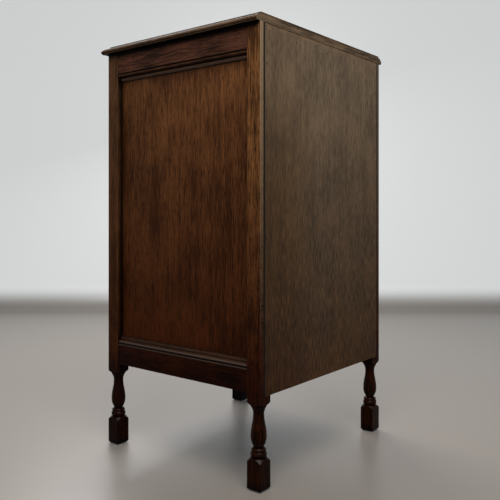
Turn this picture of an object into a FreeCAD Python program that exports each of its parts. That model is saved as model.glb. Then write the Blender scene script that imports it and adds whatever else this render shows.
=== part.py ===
import FreeCAD, Part
import os

import Sketcher
from FreeCAD import Placement, Rotation, Vector

# Record cabinet in dark oak: four posts turned into baluster legs, framed and panelled sides, a plywood back,
# a moulded top, one door in front, and two tiers of upright dividers inside.
# Millimetres, +Z up, the front faces -Y. The origin is on the floor under the middle of the top board.

doc = FreeCAD.newDocument("record_cabinet")
sheet = doc.addObject("Spreadsheet::Sheet", "dims")

SIZES = (
    # The whole cabinet
    ("body_width", 494, "over the posts, side to side"),
    ("body_depth", 462, "over the posts, front to back"),
    ("overall_height", 950, "floor to the face of the top"),
    ("post_size", 34, "side of the square post"),
    ("post_arris", 1, "rounding of the long edges of a post"),
    # Turned leg: radius and height of each point of the turning, and the radius of each curve
    ("foot_chamfer", 4.5, "chamfer round the foot of the post"),
    ("shoulder_top", 177, "height where the square of the post ends at its corners"),
    ("shoulder_curve", 8, "curve of the turned shoulder"),
    ("collar_radius", 16.6, "collar under the shoulder"),
    ("collar_top", 171, "height of the top of the collar"),
    ("collar_low", 168, "height of the foot of the collar"),
    ("cove_curve", 26.4, "curve from the collar to the upper neck"),
    ("neck_radius", 11.2, "upper neck"),
    ("neck_height", 152, "height of the upper neck"),
    ("sweep_curve", 91, "hollow curve below the upper neck"),
    ("swell_radius", 13.9, "place where hollow turns to swell"),
    ("swell_height", 130, "height of that place"),
    ("swell_curve", 98.7, "swelling curve down to the belly"),
    ("belly_radius", 16.5, "widest part of the baluster"),
    ("belly_height", 107.5, "height of the belly"),
    ("bulb_curve", 37.9, "curve under the belly"),
    ("bulb_radius", 11.4, "foot of the bulb"),
    ("bulb_height", 88.5, "height of the foot of the bulb"),
    ("waist_radius", 10.3, "lower neck"),
    ("waist_top", 87.5, "top of the lower neck"),
    ("waist_low", 85, "foot of the lower neck"),
    ("upper_bead_curve", 5.5, "round of the upper bead"),
    ("upper_bead_radius", 15, "edge of the upper bead"),
    ("upper_bead_low", 78, "height of that edge"),
    ("ring_radius", 14.6, "root of the lower bead"),
    ("ring_top", 77, "top of the lower bead"),
    ("ring_curve", 7.6, "round of the lower bead"),
    ("ring_low", 66.5, "foot of the lower bead"),
    ("block_top", 65, "top of the foot block"),
    ("block_radius", 16.4, "turned part of the top of the foot block"),
    ("block_corner", 57.5, "height where the block is square to its corners"),
    # Framing
    ("floor_to_rail", 194, "floor to the bottom rails"),
    ("bottom_rail_height", 48, "height of the bottom rails"),
    ("top_rail_height", 50, "height of the side top rails"),
    ("front_top_rail_height", 40, "height of the rail over the door"),
    ("back_rail_height", 40, "height of the back top rail"),
    ("rail_thickness", 24, "thickness of the rails and of the door"),
    ("back_rail_thickness", 20, "thickness of the back rails"),
    ("rail_setback", 1, "rails and door lie this far inside the post faces"),
    ("tenon_thickness", 8, "thickness of the tenons"),
    ("tenon_length", 15, "length of the tenons in the posts"),
    ("tenon_shoulder", 10, "shoulder above and below a tenon"),
    ("tenon_end_gap", 1, "room at the end of a tenon"),
    ("joint_fit", 0.1, "room on each side of a tongue, tenon or loose fit in wood"),
    ("cut_past", 1, "how far a cut runs past the face that it opens"),
    # Panels and their mouldings
    ("panel_thickness", 6, "thickness of the panels"),
    ("panel_recess", 14, "rail face to panel face"),
    ("groove_depth", 7, "depth of the panel grooves"),
    ("panel_room", 0.5, "room for a panel to swell in its groove"),
    ("mould_height", 17, "height of a moulding strip"),
    ("mould_depth", 13, "moulding strip, panel face to its front"),
    ("mould_quirk", 2, "small groove between moulding and rail"),
    ("mould_hollow_in", 2.4, "depth of that small groove"),
    ("mould_mid_depth", 7, "foot of the large round"),
    ("mould_mid_height", 9, "how far from the rail the large round ends"),
    ("mould_round", 7.6, "curve of the large round"),
    ("mould_step", 1.8, "step between the two rounds"),
    ("mould_bead_end", 15, "how far from the rail the small round ends"),
    ("mould_bead_round", 5, "curve of the small round"),
    ("mould_edge", 1.8, "thickness of the moulding at its thin edge"),
    # Top
    ("top_thickness", 18, "thickness of the top board"),
    ("top_overhang", 12.5, "overhang at the front and the two sides"),
    ("top_mould_width", 15.5, "width of the moulded edge"),
    ("top_step", 3.2, "step at the inner line of the moulded edge"),
    ("top_thumb_curve", 20, "curve of the thumb moulding"),
    ("top_thumb_in", 1.8, "thumb moulding ends this far inside the nose"),
    ("top_thumb_drop", 9.4, "and this far below the face of the top"),
    ("top_bead_curve", 3.2, "round of the bead under the thumb moulding"),
    ("top_bead_drop", 10.2, "top of that bead, below the face of the top"),
    ("top_bead_end", 16, "foot of that bead, below the face of the top"),
    ("block_section", 18, "side of the glue blocks under the top"),
    ("block_length", 60, "length of the glue blocks"),
    ("block_place", 110, "side blocks, from the middle of the depth"),
    # Back
    ("back_thickness", 4.5, "thickness of the back board"),
    ("back_rebate", 5, "depth of the rebates in the back posts"),
    ("back_margin", 10.5, "strip of post left showing beside the back board"),
    ("back_gap", 1.2, "gap between back board and post"),
    ("back_bottom", 188, "floor to the back board"),
    ("pin_radius", 0.9, "shank of a panel pin"),
    ("pin_head_radius", 1.9, "head of a panel pin"),
    ("pin_head_height", 0.8, "thickness of that head"),
    ("pin_length", 16, "length of a panel pin"),
    ("pin_inset", 12, "pins in the posts, from the edge of the board"),
    ("pin_end", 80, "first and last pins in the posts, from the ends of the board"),
    ("pin_rail_step", 120, "spacing of the pins along the back rails"),
    ("pin_fit", 0.05, "room round a pin"),
    # Inside
    ("base_thickness", 10, "thickness of the base board"),
    ("bearer_width", 18, "width of the bearers"),
    ("bearer_height", 18, "height of the bearers"),
    ("bearer_tenon", 8, "stub tenons of the shelf bearers"),
    ("bearer_shoulder", 4, "shoulder above and below a stub tenon"),
    ("bearer_tenon_in", 3, "stub tenon, from the outer face of its bearer"),
    ("tier_height", 319, "clear height of the lower tier"),
    ("shelf_thickness", 12, "thickness of the shelf"),
    ("shelf_setback", 37, "front of the posts to the front of the shelf"),
    ("divider_thickness", 5, "thickness of a divider"),
    ("divider_groove", 3, "depth of the grooves that hold the dividers"),
    ("divider_setback", 52, "front of the posts to the front of the dividers"),
    ("divider_scoop_end", 45, "straight front edge above and below the finger scoop"),
    ("divider_scoop_curve", 330, "curve of the finger scoop"),
    # Door
    ("door_gap", 1.5, "gap round the door"),
    ("stile_width", 50, "width of the door stiles"),
    ("door_rail_height", 48, "height of the door rails"),
    ("door_tenon", 28, "length of the tenons in the door stiles"),
    ("stop_width", 10, "width of the stop strip"),
    ("stop_gap", 0.4, "gap between the door and its stop"),
    ("stop_short", 6, "stop strip ends this far from the rails"),
    # Hinges
    ("hinge_place", 95, "end of the door to the middle of a hinge"),
    ("hinge_length", 60, "length of a hinge"),
    ("hinge_proud", 1.5, "hinge axis in front of the posts"),
    ("leaf_width", 20, "hinge axis to the edge of a leaf"),
    ("leaf_thickness", 1.8, "thickness of a leaf"),
    ("knuckle_radius", 3.4, "radius of the knuckles"),
    ("knuckle_gap", 0.3, "gap between two knuckles"),
    ("knuckle_room", 0.5, "room round the knuckles"),
    ("hinge_pin_radius", 1.6, "radius of the hinge pins"),
    ("hinge_pin_past", 1, "hinge pin past the end of the knuckles"),
    ("running_fit", 0.05, "room round a pin that turns"),
    ("screw_spacing", 20, "spacing of the screws in a leaf"),
    ("screw_line", 12, "hinge axis to the line of the screws"),
    ("screw_head_radius", 2.8, "head of a screw"),
    ("screw_head_height", 1.4, "depth of that head"),
    ("screw_radius", 1.4, "shank of a screw"),
    ("screw_length", 13, "length of a screw"),
    ("screw_fit", 0.05, "room round a screw"),
    ("slot_width", 0.8, "slot across the head of a screw"),
    ("slot_depth", 0.6, "depth of that slot"),
    # Handle
    ("handle_above_key", 75, "key to the handle above it"),
    ("plate_radius", 16, "back plate of the handle"),
    ("plate_thickness", 2.2, "thickness of the back plate"),
    ("plate_edge", 0.8, "thickness of the plate at its rim"),
    ("plate_slope", 5, "width of the rounded rim"),
    ("plate_curve", 9, "curve of the rounded rim"),
    ("stud_radius", 2.5, "shank of the stud in the door"),
    ("stud_depth", 16, "depth of that shank"),
    ("stud_neck_radius", 3.6, "stud in front of the plate"),
    ("stud_neck_end", 5.2, "door face to the front of that neck"),
    ("swing_reach", 9.5, "door face to the axis of the drop"),
    ("tongue_thickness", 3.2, "tongue of the stud"),
    ("tongue_radius", 3, "round end of the tongue"),
    ("ear_gap", 0.3, "gap between the tongue and an ear of the drop"),
    ("ear_thickness", 2, "ears of the drop"),
    ("ear_radius", 3.2, "round ends of the ears"),
    ("yoke_top", 3.8, "axis to the yoke under the tongue"),
    ("yoke_low", 8, "axis to the foot of the yoke"),
    ("drop_neck_radius", 2.8, "neck of the drop"),
    ("drop_curve", 70, "hollow curve of the drop"),
    ("drop_radius", 5.6, "widest part of the drop"),
    ("drop_belly", 31, "axis to the widest part"),
    ("drop_bulb_curve", 7, "round under the widest part"),
    ("drop_tip_radius", 1.8, "tip of the drop"),
    ("drop_tip_top", 37, "axis to the top of the tip"),
    ("drop_end", 40, "axis to the end of the drop"),
    ("handle_pin_radius", 1, "pin of the drop"),
    # Lock
    ("lock_height", 515, "floor to the key"),
    ("lock_backset", 25, "edge of the door to the key"),
    ("case_width", 38, "lock case along the door"),
    ("case_depth", 10, "lock case into the door"),
    ("case_height", 40, "height of the lock case"),
    ("case_wall", 1.5, "wall of the lock case"),
    ("plate_past", 9, "edge plate of the lock past its case"),
    ("plate_screw_in", 4.5, "end of the edge plate to its screw"),
    ("bolt_low", 4, "key to the underside of the bolt"),
    ("bolt_height", 10, "height of the bolt"),
    ("bolt_thickness", 5, "thickness of the bolt"),
    ("bolt_tail", 6, "bolt past the key, away from the edge"),
    ("bolt_in", 0.2, "end of the drawn bolt inside the edge of the door"),
    ("bolt_throw", 7.5, "travel of the bolt"),
    ("bolt_fit", 0.3, "room round the bolt"),
    ("lug_place", 3.6, "key to the lug that it pushes"),
    ("lug_width", 4, "width of that lug"),
    ("lug_low", 3, "lug below the key"),
    ("key_radius", 2.2, "shank of the key"),
    ("key_room", 0.35, "room round the key"),
    ("key_end_gap", 0.4, "end of the key to the back of the case"),
    ("bit_radius", 9, "bit of the key"),
    ("bit_thickness", 2.4, "thickness of the bit"),
    ("bit_side_gap", 1, "bit to the walls of the case"),
    ("bow_reach", 10.5, "door face to the middle of the bow"),
    ("bow_radius", 6.5, "ring of the bow"),
    ("bow_wire", 1.6, "thickness of that ring, as a radius"),
    ("collar_place", 2.2, "door face to the collar of the key"),
    ("key_collar_radius", 3.2, "collar of the key"),
    ("key_collar_length", 1.4, "length of that collar"),
    ("shield_radius", 13, "escutcheon round the keyhole"),
    ("shield_thickness", 1.4, "thickness of the escutcheon"),
    ("strike_thickness", 1.2, "thickness of the strike plate"),
    ("strike_width", 9, "width of the strike plate"),
    ("strike_height", 40, "height of the strike plate"),
    ("strike_screw", 14, "middle of the strike plate to its screws"),
    ("strike_room", 0.6, "room round the thrown bolt"),
    ("strike_depth", 8.5, "depth of the bolt hole in the post"),
)
for row, (alias, size, note) in enumerate(SIZES, start=1):
    sheet.set(f"A{row}", note)
    sheet.set(f"B{row}", str(size))
    sheet.setAlias(f"B{row}", alias)
doc.recompute()

# Planes that several pieces share
HALF = "(dims.body_width / 2)"
POST_IN = f"({HALF} - dims.post_size)"
FRONT = "((dims.top_overhang - dims.body_depth) / 2)"
BACK = f"({FRONT} + dims.body_depth)"
UNDER_TOP = "(dims.overall_height - dims.top_thickness)"
RAIL_OUT = f"({HALF} - dims.rail_setback)"
RAIL_IN = f"({RAIL_OUT} - dims.rail_thickness)"
PANEL_OUT = f"({RAIL_OUT} - dims.panel_recess)"
PANEL_IN = f"({PANEL_OUT} - dims.panel_thickness)"
POST_FRONT = f"({FRONT} + dims.post_size)"
POST_BACK = f"({BACK} - dims.post_size)"
BACK_SEAT = f"({BACK} - dims.back_rebate)"
BACK_RAIL = f"({BACK_SEAT} - dims.back_rail_thickness)"
BASE_TOP = "(dims.floor_to_rail + dims.bottom_rail_height)"
BASE_LOW = f"({BASE_TOP} - dims.base_thickness)"
SHELF_LOW = f"({BASE_TOP} + dims.tier_height)"
SHELF_TOP = f"({SHELF_LOW} + dims.shelf_thickness)"
DOOR_FACE = f"({FRONT} + dims.rail_setback)"
DOOR_BACK = f"({DOOR_FACE} + dims.rail_thickness)"
DOOR_HALF = f"({POST_IN} - dims.door_gap)"
DOOR_LOW = f"({BASE_TOP} + dims.door_gap)"
DOOR_TOP = f"({UNDER_TOP} - dims.front_top_rail_height - dims.door_gap)"
STILE_IN = f"({DOOR_HALF} - dims.stile_width)"
SIDES = (("left", -1), ("right", 1))
DIVIDERS = 4

pieces = []


def value(expression):
    """The number that an expression of the sheet gives."""
    return float(sheet.evalExpression(expression))


def keep(piece):
    """Count a finished object as one of the cabinet's pieces."""
    pieces.append(piece)
    return piece


def place(item, x="0", y="0", z="0"):
    """Tie the place of an object to the sheet."""
    for letter, spot in zip("xyz", (x, y, z)):
        item.setExpression(f"Placement.Base.{letter}", spot)


def block(name, x, y, z):
    """A rectangular block between two planes in each direction."""
    item = doc.addObject("Part::Box", name)
    for size, (low, high) in zip(("Length", "Width", "Height"), (x, y, z)):
        item.setExpression(size, f"({high}) - ({low})")
    place(item, x[0], y[0], z[0])
    return item


def rod(name, axis, centre, radius, span):
    """A round bar along an axis, between two planes. centre holds the other two coordinates."""
    item = doc.addObject("Part::Cylinder", name)
    along = Vector(*(float(letter == axis) for letter in "xyz"))
    item.Placement = Placement(Vector(), Rotation(Vector(0, 0, 1), along))
    item.setExpression("Radius", radius)
    item.setExpression("Height", f"({span[1]}) - ({span[0]})")
    others = iter(centre)
    place(item, *(span[0] if letter == axis else next(others) for letter in "xyz"))
    return item


def fuse(name, parts):
    """Several shapes joined into one."""
    item = doc.addObject("Part::MultiFuse", name)
    item.Shapes = parts
    item.Refine = True
    return item


def cut(name, base, tools):
    """A shape with one or more others taken away."""
    item = doc.addObject("Part::Cut", name)
    item.Base = base
    item.Tool = tools[0] if len(tools) == 1 else fuse(f"{name}_cuts", tools)
    item.Refine = True
    return item


def common(name, shapes):
    """What several shapes share."""
    item = doc.addObject("Part::MultiCommon", name)
    item.Shapes = shapes
    item.Refine = True
    return item


def group(name, items):
    """Separate solids that share one name."""
    item = doc.addObject("Part::Compound", name)
    item.Links = items
    return item


def mirrored(side, near, far):
    """The span between two distances from the middle, on one side of it."""
    return (near, far) if side > 0 else (f"-{far}", f"-{near}")


def grown(span, room):
    """A span made longer by some room at each end."""
    return f"{span[0]} - {room}", f"{span[1]} + {room}"


def about(middle, size):
    """A span of a given size about a middle."""
    return f"{middle} - {size} / 2", f"{middle} + {size} / 2"


def new_sketch(body, role, name):
    """A sketch on one of the body's own planes."""
    sketch = body.newObject("Sketcher::SketchObject", name)
    plane = next(item for item in body.Origin.OriginFeatures if item.Role == role)
    sketch.AttachmentSupport = [(plane, "")]
    sketch.MapMode = "FlatFace"
    return sketch


def tie(sketch, kind, geometry, expression, *point):
    """A dimension in a sketch that follows the sheet."""
    index = sketch.addConstraint(Sketcher.Constraint(kind, geometry, *point, value(expression)))
    sketch.setExpression(f"Constraints[{index}]", expression)


def outline(sketch, corners):
    """A closed outline through corners (x, y). A corner (x, y, radius, side) starts an arc to the next one,
    which bulges to the left of the way round for side 1 and to the right for side -1."""
    spots = [Vector(value(corner[0]), value(corner[1]), 0) for corner in corners]
    edges = []
    for start, end, corner in zip(spots, spots[1:] + spots[:1], corners):
        if len(corner) == 4:
            radius = value(corner[2])
            chord = end - start
            rise = radius - (radius ** 2 - chord.Length ** 2 / 4) ** 0.5
            left = Vector(-chord.y, chord.x, 0).normalize()
            top = (start + end) * 0.5 + left * rise * corner[3]
            edge = sketch.addGeometry(Part.ArcOfCircle(start, top, end))
            tie(sketch, "Radius", edge, corner[2])
        else:
            edge = sketch.addGeometry(Part.LineSegment(start, end))
        forward = sketch.getPoint(edge, 1).isEqual(start, 1e-6)
        edges.append((edge, 1, 2) if forward else (edge, 2, 1))
    for (edge, start, end), (after, first, _), corner in zip(edges, edges[1:] + edges[:1], corners):
        sketch.addConstraint(Sketcher.Constraint("Coincident", edge, end, after, first))
        tie(sketch, "DistanceX", edge, corner[0], start)
        tie(sketch, "DistanceY", edge, corner[1], start)


def pad(body, sketch, length, name, symmetric=False):
    """A sketch pushed out by a length."""
    item = body.newObject("PartDesign::Pad", name)
    item.Profile = sketch
    item.SideType = "Symmetric" if symmetric else "One side"
    item.setExpression("Length", length)
    return item


def spun(name, corners, kind="PartDesign::Revolution", body=None):
    """An outline of (radius, height) turned about the upright axis of its body."""
    body = body or doc.addObject("PartDesign::Body", name)
    sketch = new_sketch(body, "XZ_Plane", f"{name}_section")
    outline(sketch, corners)
    item = body.newObject(kind, f"{name}_turning")
    item.Profile = sketch
    item.ReferenceAxis = (sketch, ["V_Axis"])
    item.Angle = 360
    return body


# Rails and the tenons that join them to posts and stiles

class Rail:
    """A bar between two uprights: its direction, its ends, its faces across, its edges in height."""

    def __init__(self, axis, ends, faces, edges, tenon="dims.tenon_length", thickness="dims.tenon_thickness",
                 shoulder="dims.tenon_shoulder"):
        self.axis = axis
        self.ends = ends
        self.faces = faces
        self.edges = edges
        self.tenon = tenon
        middle = f"({faces[0]} + {faces[1]}) / 2"
        self.tenon_faces = about(middle, thickness)
        self.tenon_edges = (f"{edges[0]} + {shoulder}", f"{edges[1]} - {shoulder}")

    def bar(self, name, ends, faces, edges):
        """A block in the direction of this rail."""
        if self.axis == "x":
            return block(name, ends, faces, edges)
        return block(name, faces, ends, edges)

    def solid(self, name):
        """The rail with a tenon at each end."""
        body = self.bar(f"{name}_bar", self.ends, self.faces, self.edges)
        core = self.bar(f"{name}_tenons", grown(self.ends, self.tenon), self.tenon_faces, self.tenon_edges)
        return fuse(f"{name}_joined", [body, core])

    def mortise(self, name, end):
        """The hole for the tenon at the first (0) or the second (1) end."""
        deep = f"({self.tenon} + dims.tenon_end_gap)"
        span = (f"{self.ends[0]} - {deep}", f"{self.ends[0]} + dims.cut_past")
        if end:
            span = (f"{self.ends[1]} - dims.cut_past", f"{self.ends[1]} + {deep}")
        faces = grown(self.tenon_faces, "dims.joint_fit")
        edges = grown(self.tenon_edges, "dims.joint_fit")
        return self.bar(name, span, faces, edges)


TOP_EDGES = (f"{UNDER_TOP} - dims.top_rail_height", UNDER_TOP)
LOW_EDGES = ("dims.floor_to_rail", BASE_TOP)
DEPTH = (POST_FRONT, POST_BACK)
WIDTH = (f"-{POST_IN}", POST_IN)
FRONT_FACES = (DOOR_FACE, DOOR_BACK)
BACK_FACES = (BACK_RAIL, BACK_SEAT)
BEARER_EDGES = (f"{SHELF_LOW} - dims.bearer_height", SHELF_LOW)
BEARER_TENON_OUT = f"({PANEL_IN} - dims.bearer_tenon_in)"
BEARER_TENON_IN = f"({BEARER_TENON_OUT} - dims.tenon_thickness)"

rails = {
    "front_top_rail": Rail("x", WIDTH, FRONT_FACES, (f"{UNDER_TOP} - dims.front_top_rail_height", UNDER_TOP)),
    "front_bottom_rail": Rail("x", WIDTH, FRONT_FACES, LOW_EDGES),
    "back_top_rail": Rail("x", WIDTH, BACK_FACES, (f"{UNDER_TOP} - dims.back_rail_height", UNDER_TOP)),
    "back_bottom_rail": Rail("x", WIDTH, BACK_FACES, LOW_EDGES),
}
for side_name, side in SIDES:
    side_faces = mirrored(side, RAIL_IN, RAIL_OUT)
    rails[f"{side_name}_top_rail"] = Rail("y", DEPTH, side_faces, TOP_EDGES)
    rails[f"{side_name}_bottom_rail"] = Rail("y", DEPTH, side_faces, LOW_EDGES)
    bearer = Rail("y", DEPTH, mirrored(side, f"({PANEL_IN} - dims.bearer_width)", PANEL_IN), BEARER_EDGES,
                  tenon="dims.bearer_tenon", shoulder="dims.bearer_shoulder")
    bearer.tenon_faces = mirrored(side, BEARER_TENON_IN, BEARER_TENON_OUT)
    rails[f"{side_name}_shelf_bearer"] = bearer
for end, edges in (("top", (f"{DOOR_TOP} - dims.door_rail_height", DOOR_TOP)),
                   ("bottom", (DOOR_LOW, f"{DOOR_LOW} + dims.door_rail_height"))):
    rails[f"door_{end}_rail"] = Rail("x", (f"-{STILE_IN}", STILE_IN), FRONT_FACES, edges,
                                     tenon="dims.door_tenon")

# Panels, each in a groove in its rails and its uprights

GROOVE_Z = (f"{BASE_TOP} - dims.groove_depth", f"{UNDER_TOP} - dims.top_rail_height + dims.groove_depth")
DOOR_GROOVE_Z = (f"{DOOR_LOW} + dims.door_rail_height - dims.groove_depth",
                 f"{DOOR_TOP} - dims.door_rail_height + dims.groove_depth")
DOOR_PANEL_Y = (f"{DOOR_FACE} + dims.panel_recess", f"{DOOR_FACE} + dims.panel_recess + dims.panel_thickness")
DOOR_GROOVE_X = f"({STILE_IN} + dims.groove_depth)"


def side_groove(name, side):
    """The room that a side panel takes in the rails and posts round it."""
    faces = grown(mirrored(side, PANEL_IN, PANEL_OUT), "dims.joint_fit")
    return block(name, faces, grown(DEPTH, "dims.groove_depth"), GROOVE_Z)


def door_groove(name):
    """The room that the door panel takes in the rails and stiles round it."""
    faces = grown(DOOR_PANEL_Y, "dims.joint_fit")
    return block(name, (f"-{DOOR_GROOVE_X}", DOOR_GROOVE_X), faces, DOOR_GROOVE_Z)


def less(span, room):
    """A span made shorter by some room at each end."""
    return f"{span[0]} + {room}", f"{span[1]} - {room}"


for side_name, side in SIDES:
    panel_y = less(grown(DEPTH, "dims.groove_depth"), "dims.panel_room")
    panel_z = less(GROOVE_Z, "dims.panel_room")
    keep(block(f"{side_name}_panel", mirrored(side, PANEL_IN, PANEL_OUT), panel_y, panel_z))
    for level in ("top", "bottom"):
        name = f"{side_name}_{level}_rail"
        keep(cut(name, rails[name].solid(name), [side_groove(f"{name}_groove", side)]))
    name = f"{side_name}_shelf_bearer"
    keep(rails[name].solid(name)).Label = name
keep(block("door_panel", less((f"-{DOOR_GROOVE_X}", DOOR_GROOVE_X), "dims.panel_room"), DOOR_PANEL_Y,
           less(DOOR_GROOVE_Z, "dims.panel_room")))
for level in ("top", "bottom"):
    name = f"door_{level}_rail"
    keep(cut(name, rails[name].solid(name), [door_groove(f"{name}_groove")]))
for level in ("top", "bottom"):
    name = f"front_{level}_rail"
    keep(rails[name].solid(name)).Label = name

# Moulding strips along the rails of the sides and of the door, in the corner between rail and panel

MOULD = (
    ("0", "0"),
    ("dims.mould_depth - dims.mould_hollow_in", "0"),
    ("dims.mould_depth - dims.mould_hollow_in", "dims.mould_quirk"),
    ("dims.mould_depth", "dims.mould_quirk", "dims.mould_round", -1),
    ("dims.mould_mid_depth", "dims.mould_mid_height"),
    ("dims.mould_mid_depth - dims.mould_step", "dims.mould_mid_height", "dims.mould_bead_round", -1),
    ("dims.mould_edge", "dims.mould_bead_end"),
    ("dims.mould_edge", "dims.mould_height"),
    ("0", "dims.mould_height"),
)


def moulding(name, role, out, up, length, spot):
    """A moulding strip. out and up are the signs of its way out from the panel and its way off the rail."""
    body = doc.addObject("PartDesign::Body", name)
    sketch = new_sketch(body, role, f"{name}_section")
    corners = []
    for corner in MOULD:
        turned = (f"{out} * ({corner[0]})", f"{up} * ({corner[1]})")
        corners.append(turned + (corner[2], corner[3] * out * up) if len(corner) == 4 else turned)
    outline(sketch, corners)
    pad(body, sketch, length, f"{name}_run", symmetric=True)
    place(body, *spot)
    keep(body)


MID_DEPTH = f"(({FRONT} + {BACK}) / 2)"
for side_name, side in SIDES:
    run = f"{POST_BACK} - ({POST_FRONT}) - 2 * dims.joint_fit"
    spot_x = PANEL_OUT if side > 0 else f"-{PANEL_OUT}"
    moulding(f"{side_name}_top_moulding", "XZ_Plane", side, -1, run, (spot_x, MID_DEPTH, TOP_EDGES[0]))
    moulding(f"{side_name}_bottom_moulding", "XZ_Plane", side, 1, run, (spot_x, MID_DEPTH, BASE_TOP))
door_run = f"2 * {STILE_IN} - 2 * dims.joint_fit"
for level, way, edge in (("top", -1, 0), ("bottom", 1, 1)):
    spot = ("0", DOOR_PANEL_Y[0], rails[f"door_{level}_rail"].edges[edge])
    moulding(f"door_{level}_moulding", "YZ_Plane", -1, way, door_run, spot)

# Screws, with a countersunk head flush with the face that they enter along X


def screw(name, spot, way, room="0"):
    """A screw that enters at a spot, towards +X (way 1) or -X (way -1), or the hole for one."""
    turn = Rotation(Vector(0, 0, 1), Vector(way, 0, 0))
    head = doc.addObject("Part::Cone", f"{name}_head")
    head.setExpression("Radius1", f"dims.screw_head_radius + {room}")
    head.setExpression("Radius2", f"dims.screw_radius + {room}")
    head.setExpression("Height", "dims.screw_head_height")
    shank = doc.addObject("Part::Cylinder", f"{name}_shank")
    shank.setExpression("Radius", f"dims.screw_radius + {room}")
    shank.setExpression("Height", f"dims.screw_length + {room}")
    for item in (head, shank):
        item.Placement = Placement(Vector(), turn)
        place(item, *spot)
    return fuse(name, [head, shank])


HINGES = (("lower", f"({DOOR_LOW} + dims.hinge_place)"), ("upper", f"({DOOR_TOP} - dims.hinge_place)"))
HINGE_X = f"(-{POST_IN} + dims.door_gap / 2)"
HINGE_Y = f"({FRONT} - dims.hinge_proud)"
SCREW_Y = f"({HINGE_Y} + dims.screw_line)"
BOLT_Y = f"({DOOR_BACK} - dims.case_depth / 2)"
BOLT_Z = "(dims.lock_height + dims.bolt_low + dims.bolt_height / 2)"
BOLT_FACES = about(BOLT_Y, "dims.bolt_thickness")
BOLT_EDGES = about(BOLT_Z, "dims.bolt_height")
BOLT_ROOM = (grown(BOLT_FACES, "dims.strike_room"), grown(BOLT_EDGES, "dims.strike_room"))
STRIKE_X = (POST_IN, f"{POST_IN} + dims.strike_thickness")
STRIKE_Y = about(BOLT_Y, "dims.strike_width")
STRIKE_Z = about(BOLT_Z, "dims.strike_height")
PLATE_END = "(dims.case_height / 2 + dims.plate_past - dims.plate_screw_in)"


def hinge_spots(face):
    """Where the screws of both hinges enter a face."""
    return [(face, SCREW_Y, f"{middle} + {step} * dims.screw_spacing")
            for _, middle in HINGES for step in (-1, 0, 1)]


STRIKE_SPOTS = [(POST_IN, BOLT_Y, f"{BOLT_Z} + {step} * dims.strike_screw") for step in (-1, 1)]
PLATE_SPOTS = [(DOOR_HALF, BOLT_Y, f"dims.lock_height + {step} * {PLATE_END}") for step in (-1, 1)]
HINGE_POST_SPOTS = hinge_spots(f"-{POST_IN}")
HINGE_DOOR_SPOTS = hinge_spots(f"-{DOOR_HALF}")


def screw_holes(name, spots, way):
    """One hole for each spot."""
    return [screw(f"{name}_{count}", spot, way, "dims.screw_fit") for count, spot in enumerate(spots)]


def slotted_screw(name, spot, way):
    """A screw with a slot across its head."""
    face, y, z = spot
    deep = (f"{face} - dims.cut_past", f"{face} + dims.slot_depth")
    if way < 0:
        deep = (f"{face} - dims.slot_depth", f"{face} + dims.cut_past")
    slot = block(f"{name}_slot", deep, about(y, "dims.slot_width"), grown((z, z), "dims.screw_head_radius"))
    return cut(name, screw(f"{name}_body", spot, way), [slot])


def screws(name, rows):
    """A group of screws, from rows of (spots, way)."""
    items = []
    for spots, way in rows:
        for spot in spots:
            items.append(slotted_screw(f"{name}_{len(items)}", spot, way))
    keep(group(name, items))


screws("post_screws", ((HINGE_POST_SPOTS, -1), (STRIKE_SPOTS, 1)))
screws("door_screws", ((HINGE_DOOR_SPOTS, 1), (PLATE_SPOTS, -1)))

# Butt hinges on the left: five knuckles, three on the post leaf and two on the door leaf


def hinge_recess(name, middle, leaf_x):
    """The room that one leaf and the knuckles take in the wood."""
    long_way = grown(about(middle, "dims.hinge_length"), "dims.joint_fit")
    deep = (f"{HINGE_Y} - dims.cut_past", f"{HINGE_Y} + dims.leaf_width")
    bed = block(f"{name}_bed", leaf_x, deep, long_way)
    barrel = rod(f"{name}_barrel", "z", (HINGE_X, HINGE_Y), "dims.knuckle_radius + dims.knuckle_room",
                 grown(about(middle, "dims.hinge_length"), "dims.knuckle_room"))
    return [bed, barrel]


def knuckle_span(middle, count):
    """One fifth of the hinge, with half the gap left at each end."""
    low = f"{middle} - dims.hinge_length / 2 + {count} * dims.hinge_length / 5"
    return f"{low} + dims.knuckle_gap / 2", f"{low} + dims.hinge_length / 5 - dims.knuckle_gap / 2"


def hinge_leaf(name, middle, leaf_x, own, others, spots, way):
    """A leaf with its own knuckles, cleared round the knuckles of the other leaf."""
    axis = (HINGE_X, HINGE_Y)
    plate = block(f"{name}_plate", leaf_x, (HINGE_Y, f"{HINGE_Y} + dims.leaf_width"),
                  about(middle, "dims.hinge_length"))
    rooms = []
    for count in others:
        low, high = knuckle_span(middle, count)
        rooms.append(rod(f"{name}_room_{count}", "z", axis, "dims.knuckle_radius + dims.knuckle_room",
                         (f"{low} - dims.knuckle_gap", f"{high} + dims.knuckle_gap")))
    cleared = cut(f"{name}_cleared", plate, rooms)
    knuckles = [rod(f"{name}_knuckle_{count}", "z", axis, "dims.knuckle_radius", knuckle_span(middle, count))
                for count in own]
    solid = fuse(f"{name}_solid", [cleared] + knuckles)
    bore = rod(f"{name}_bore", "z", axis, "dims.hinge_pin_radius + dims.running_fit",
               grown(about(middle, "dims.hinge_length"), "dims.cut_past"))
    keep(cut(name, solid, [bore] + screw_holes(f"{name}_hole", spots, way)))


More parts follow.
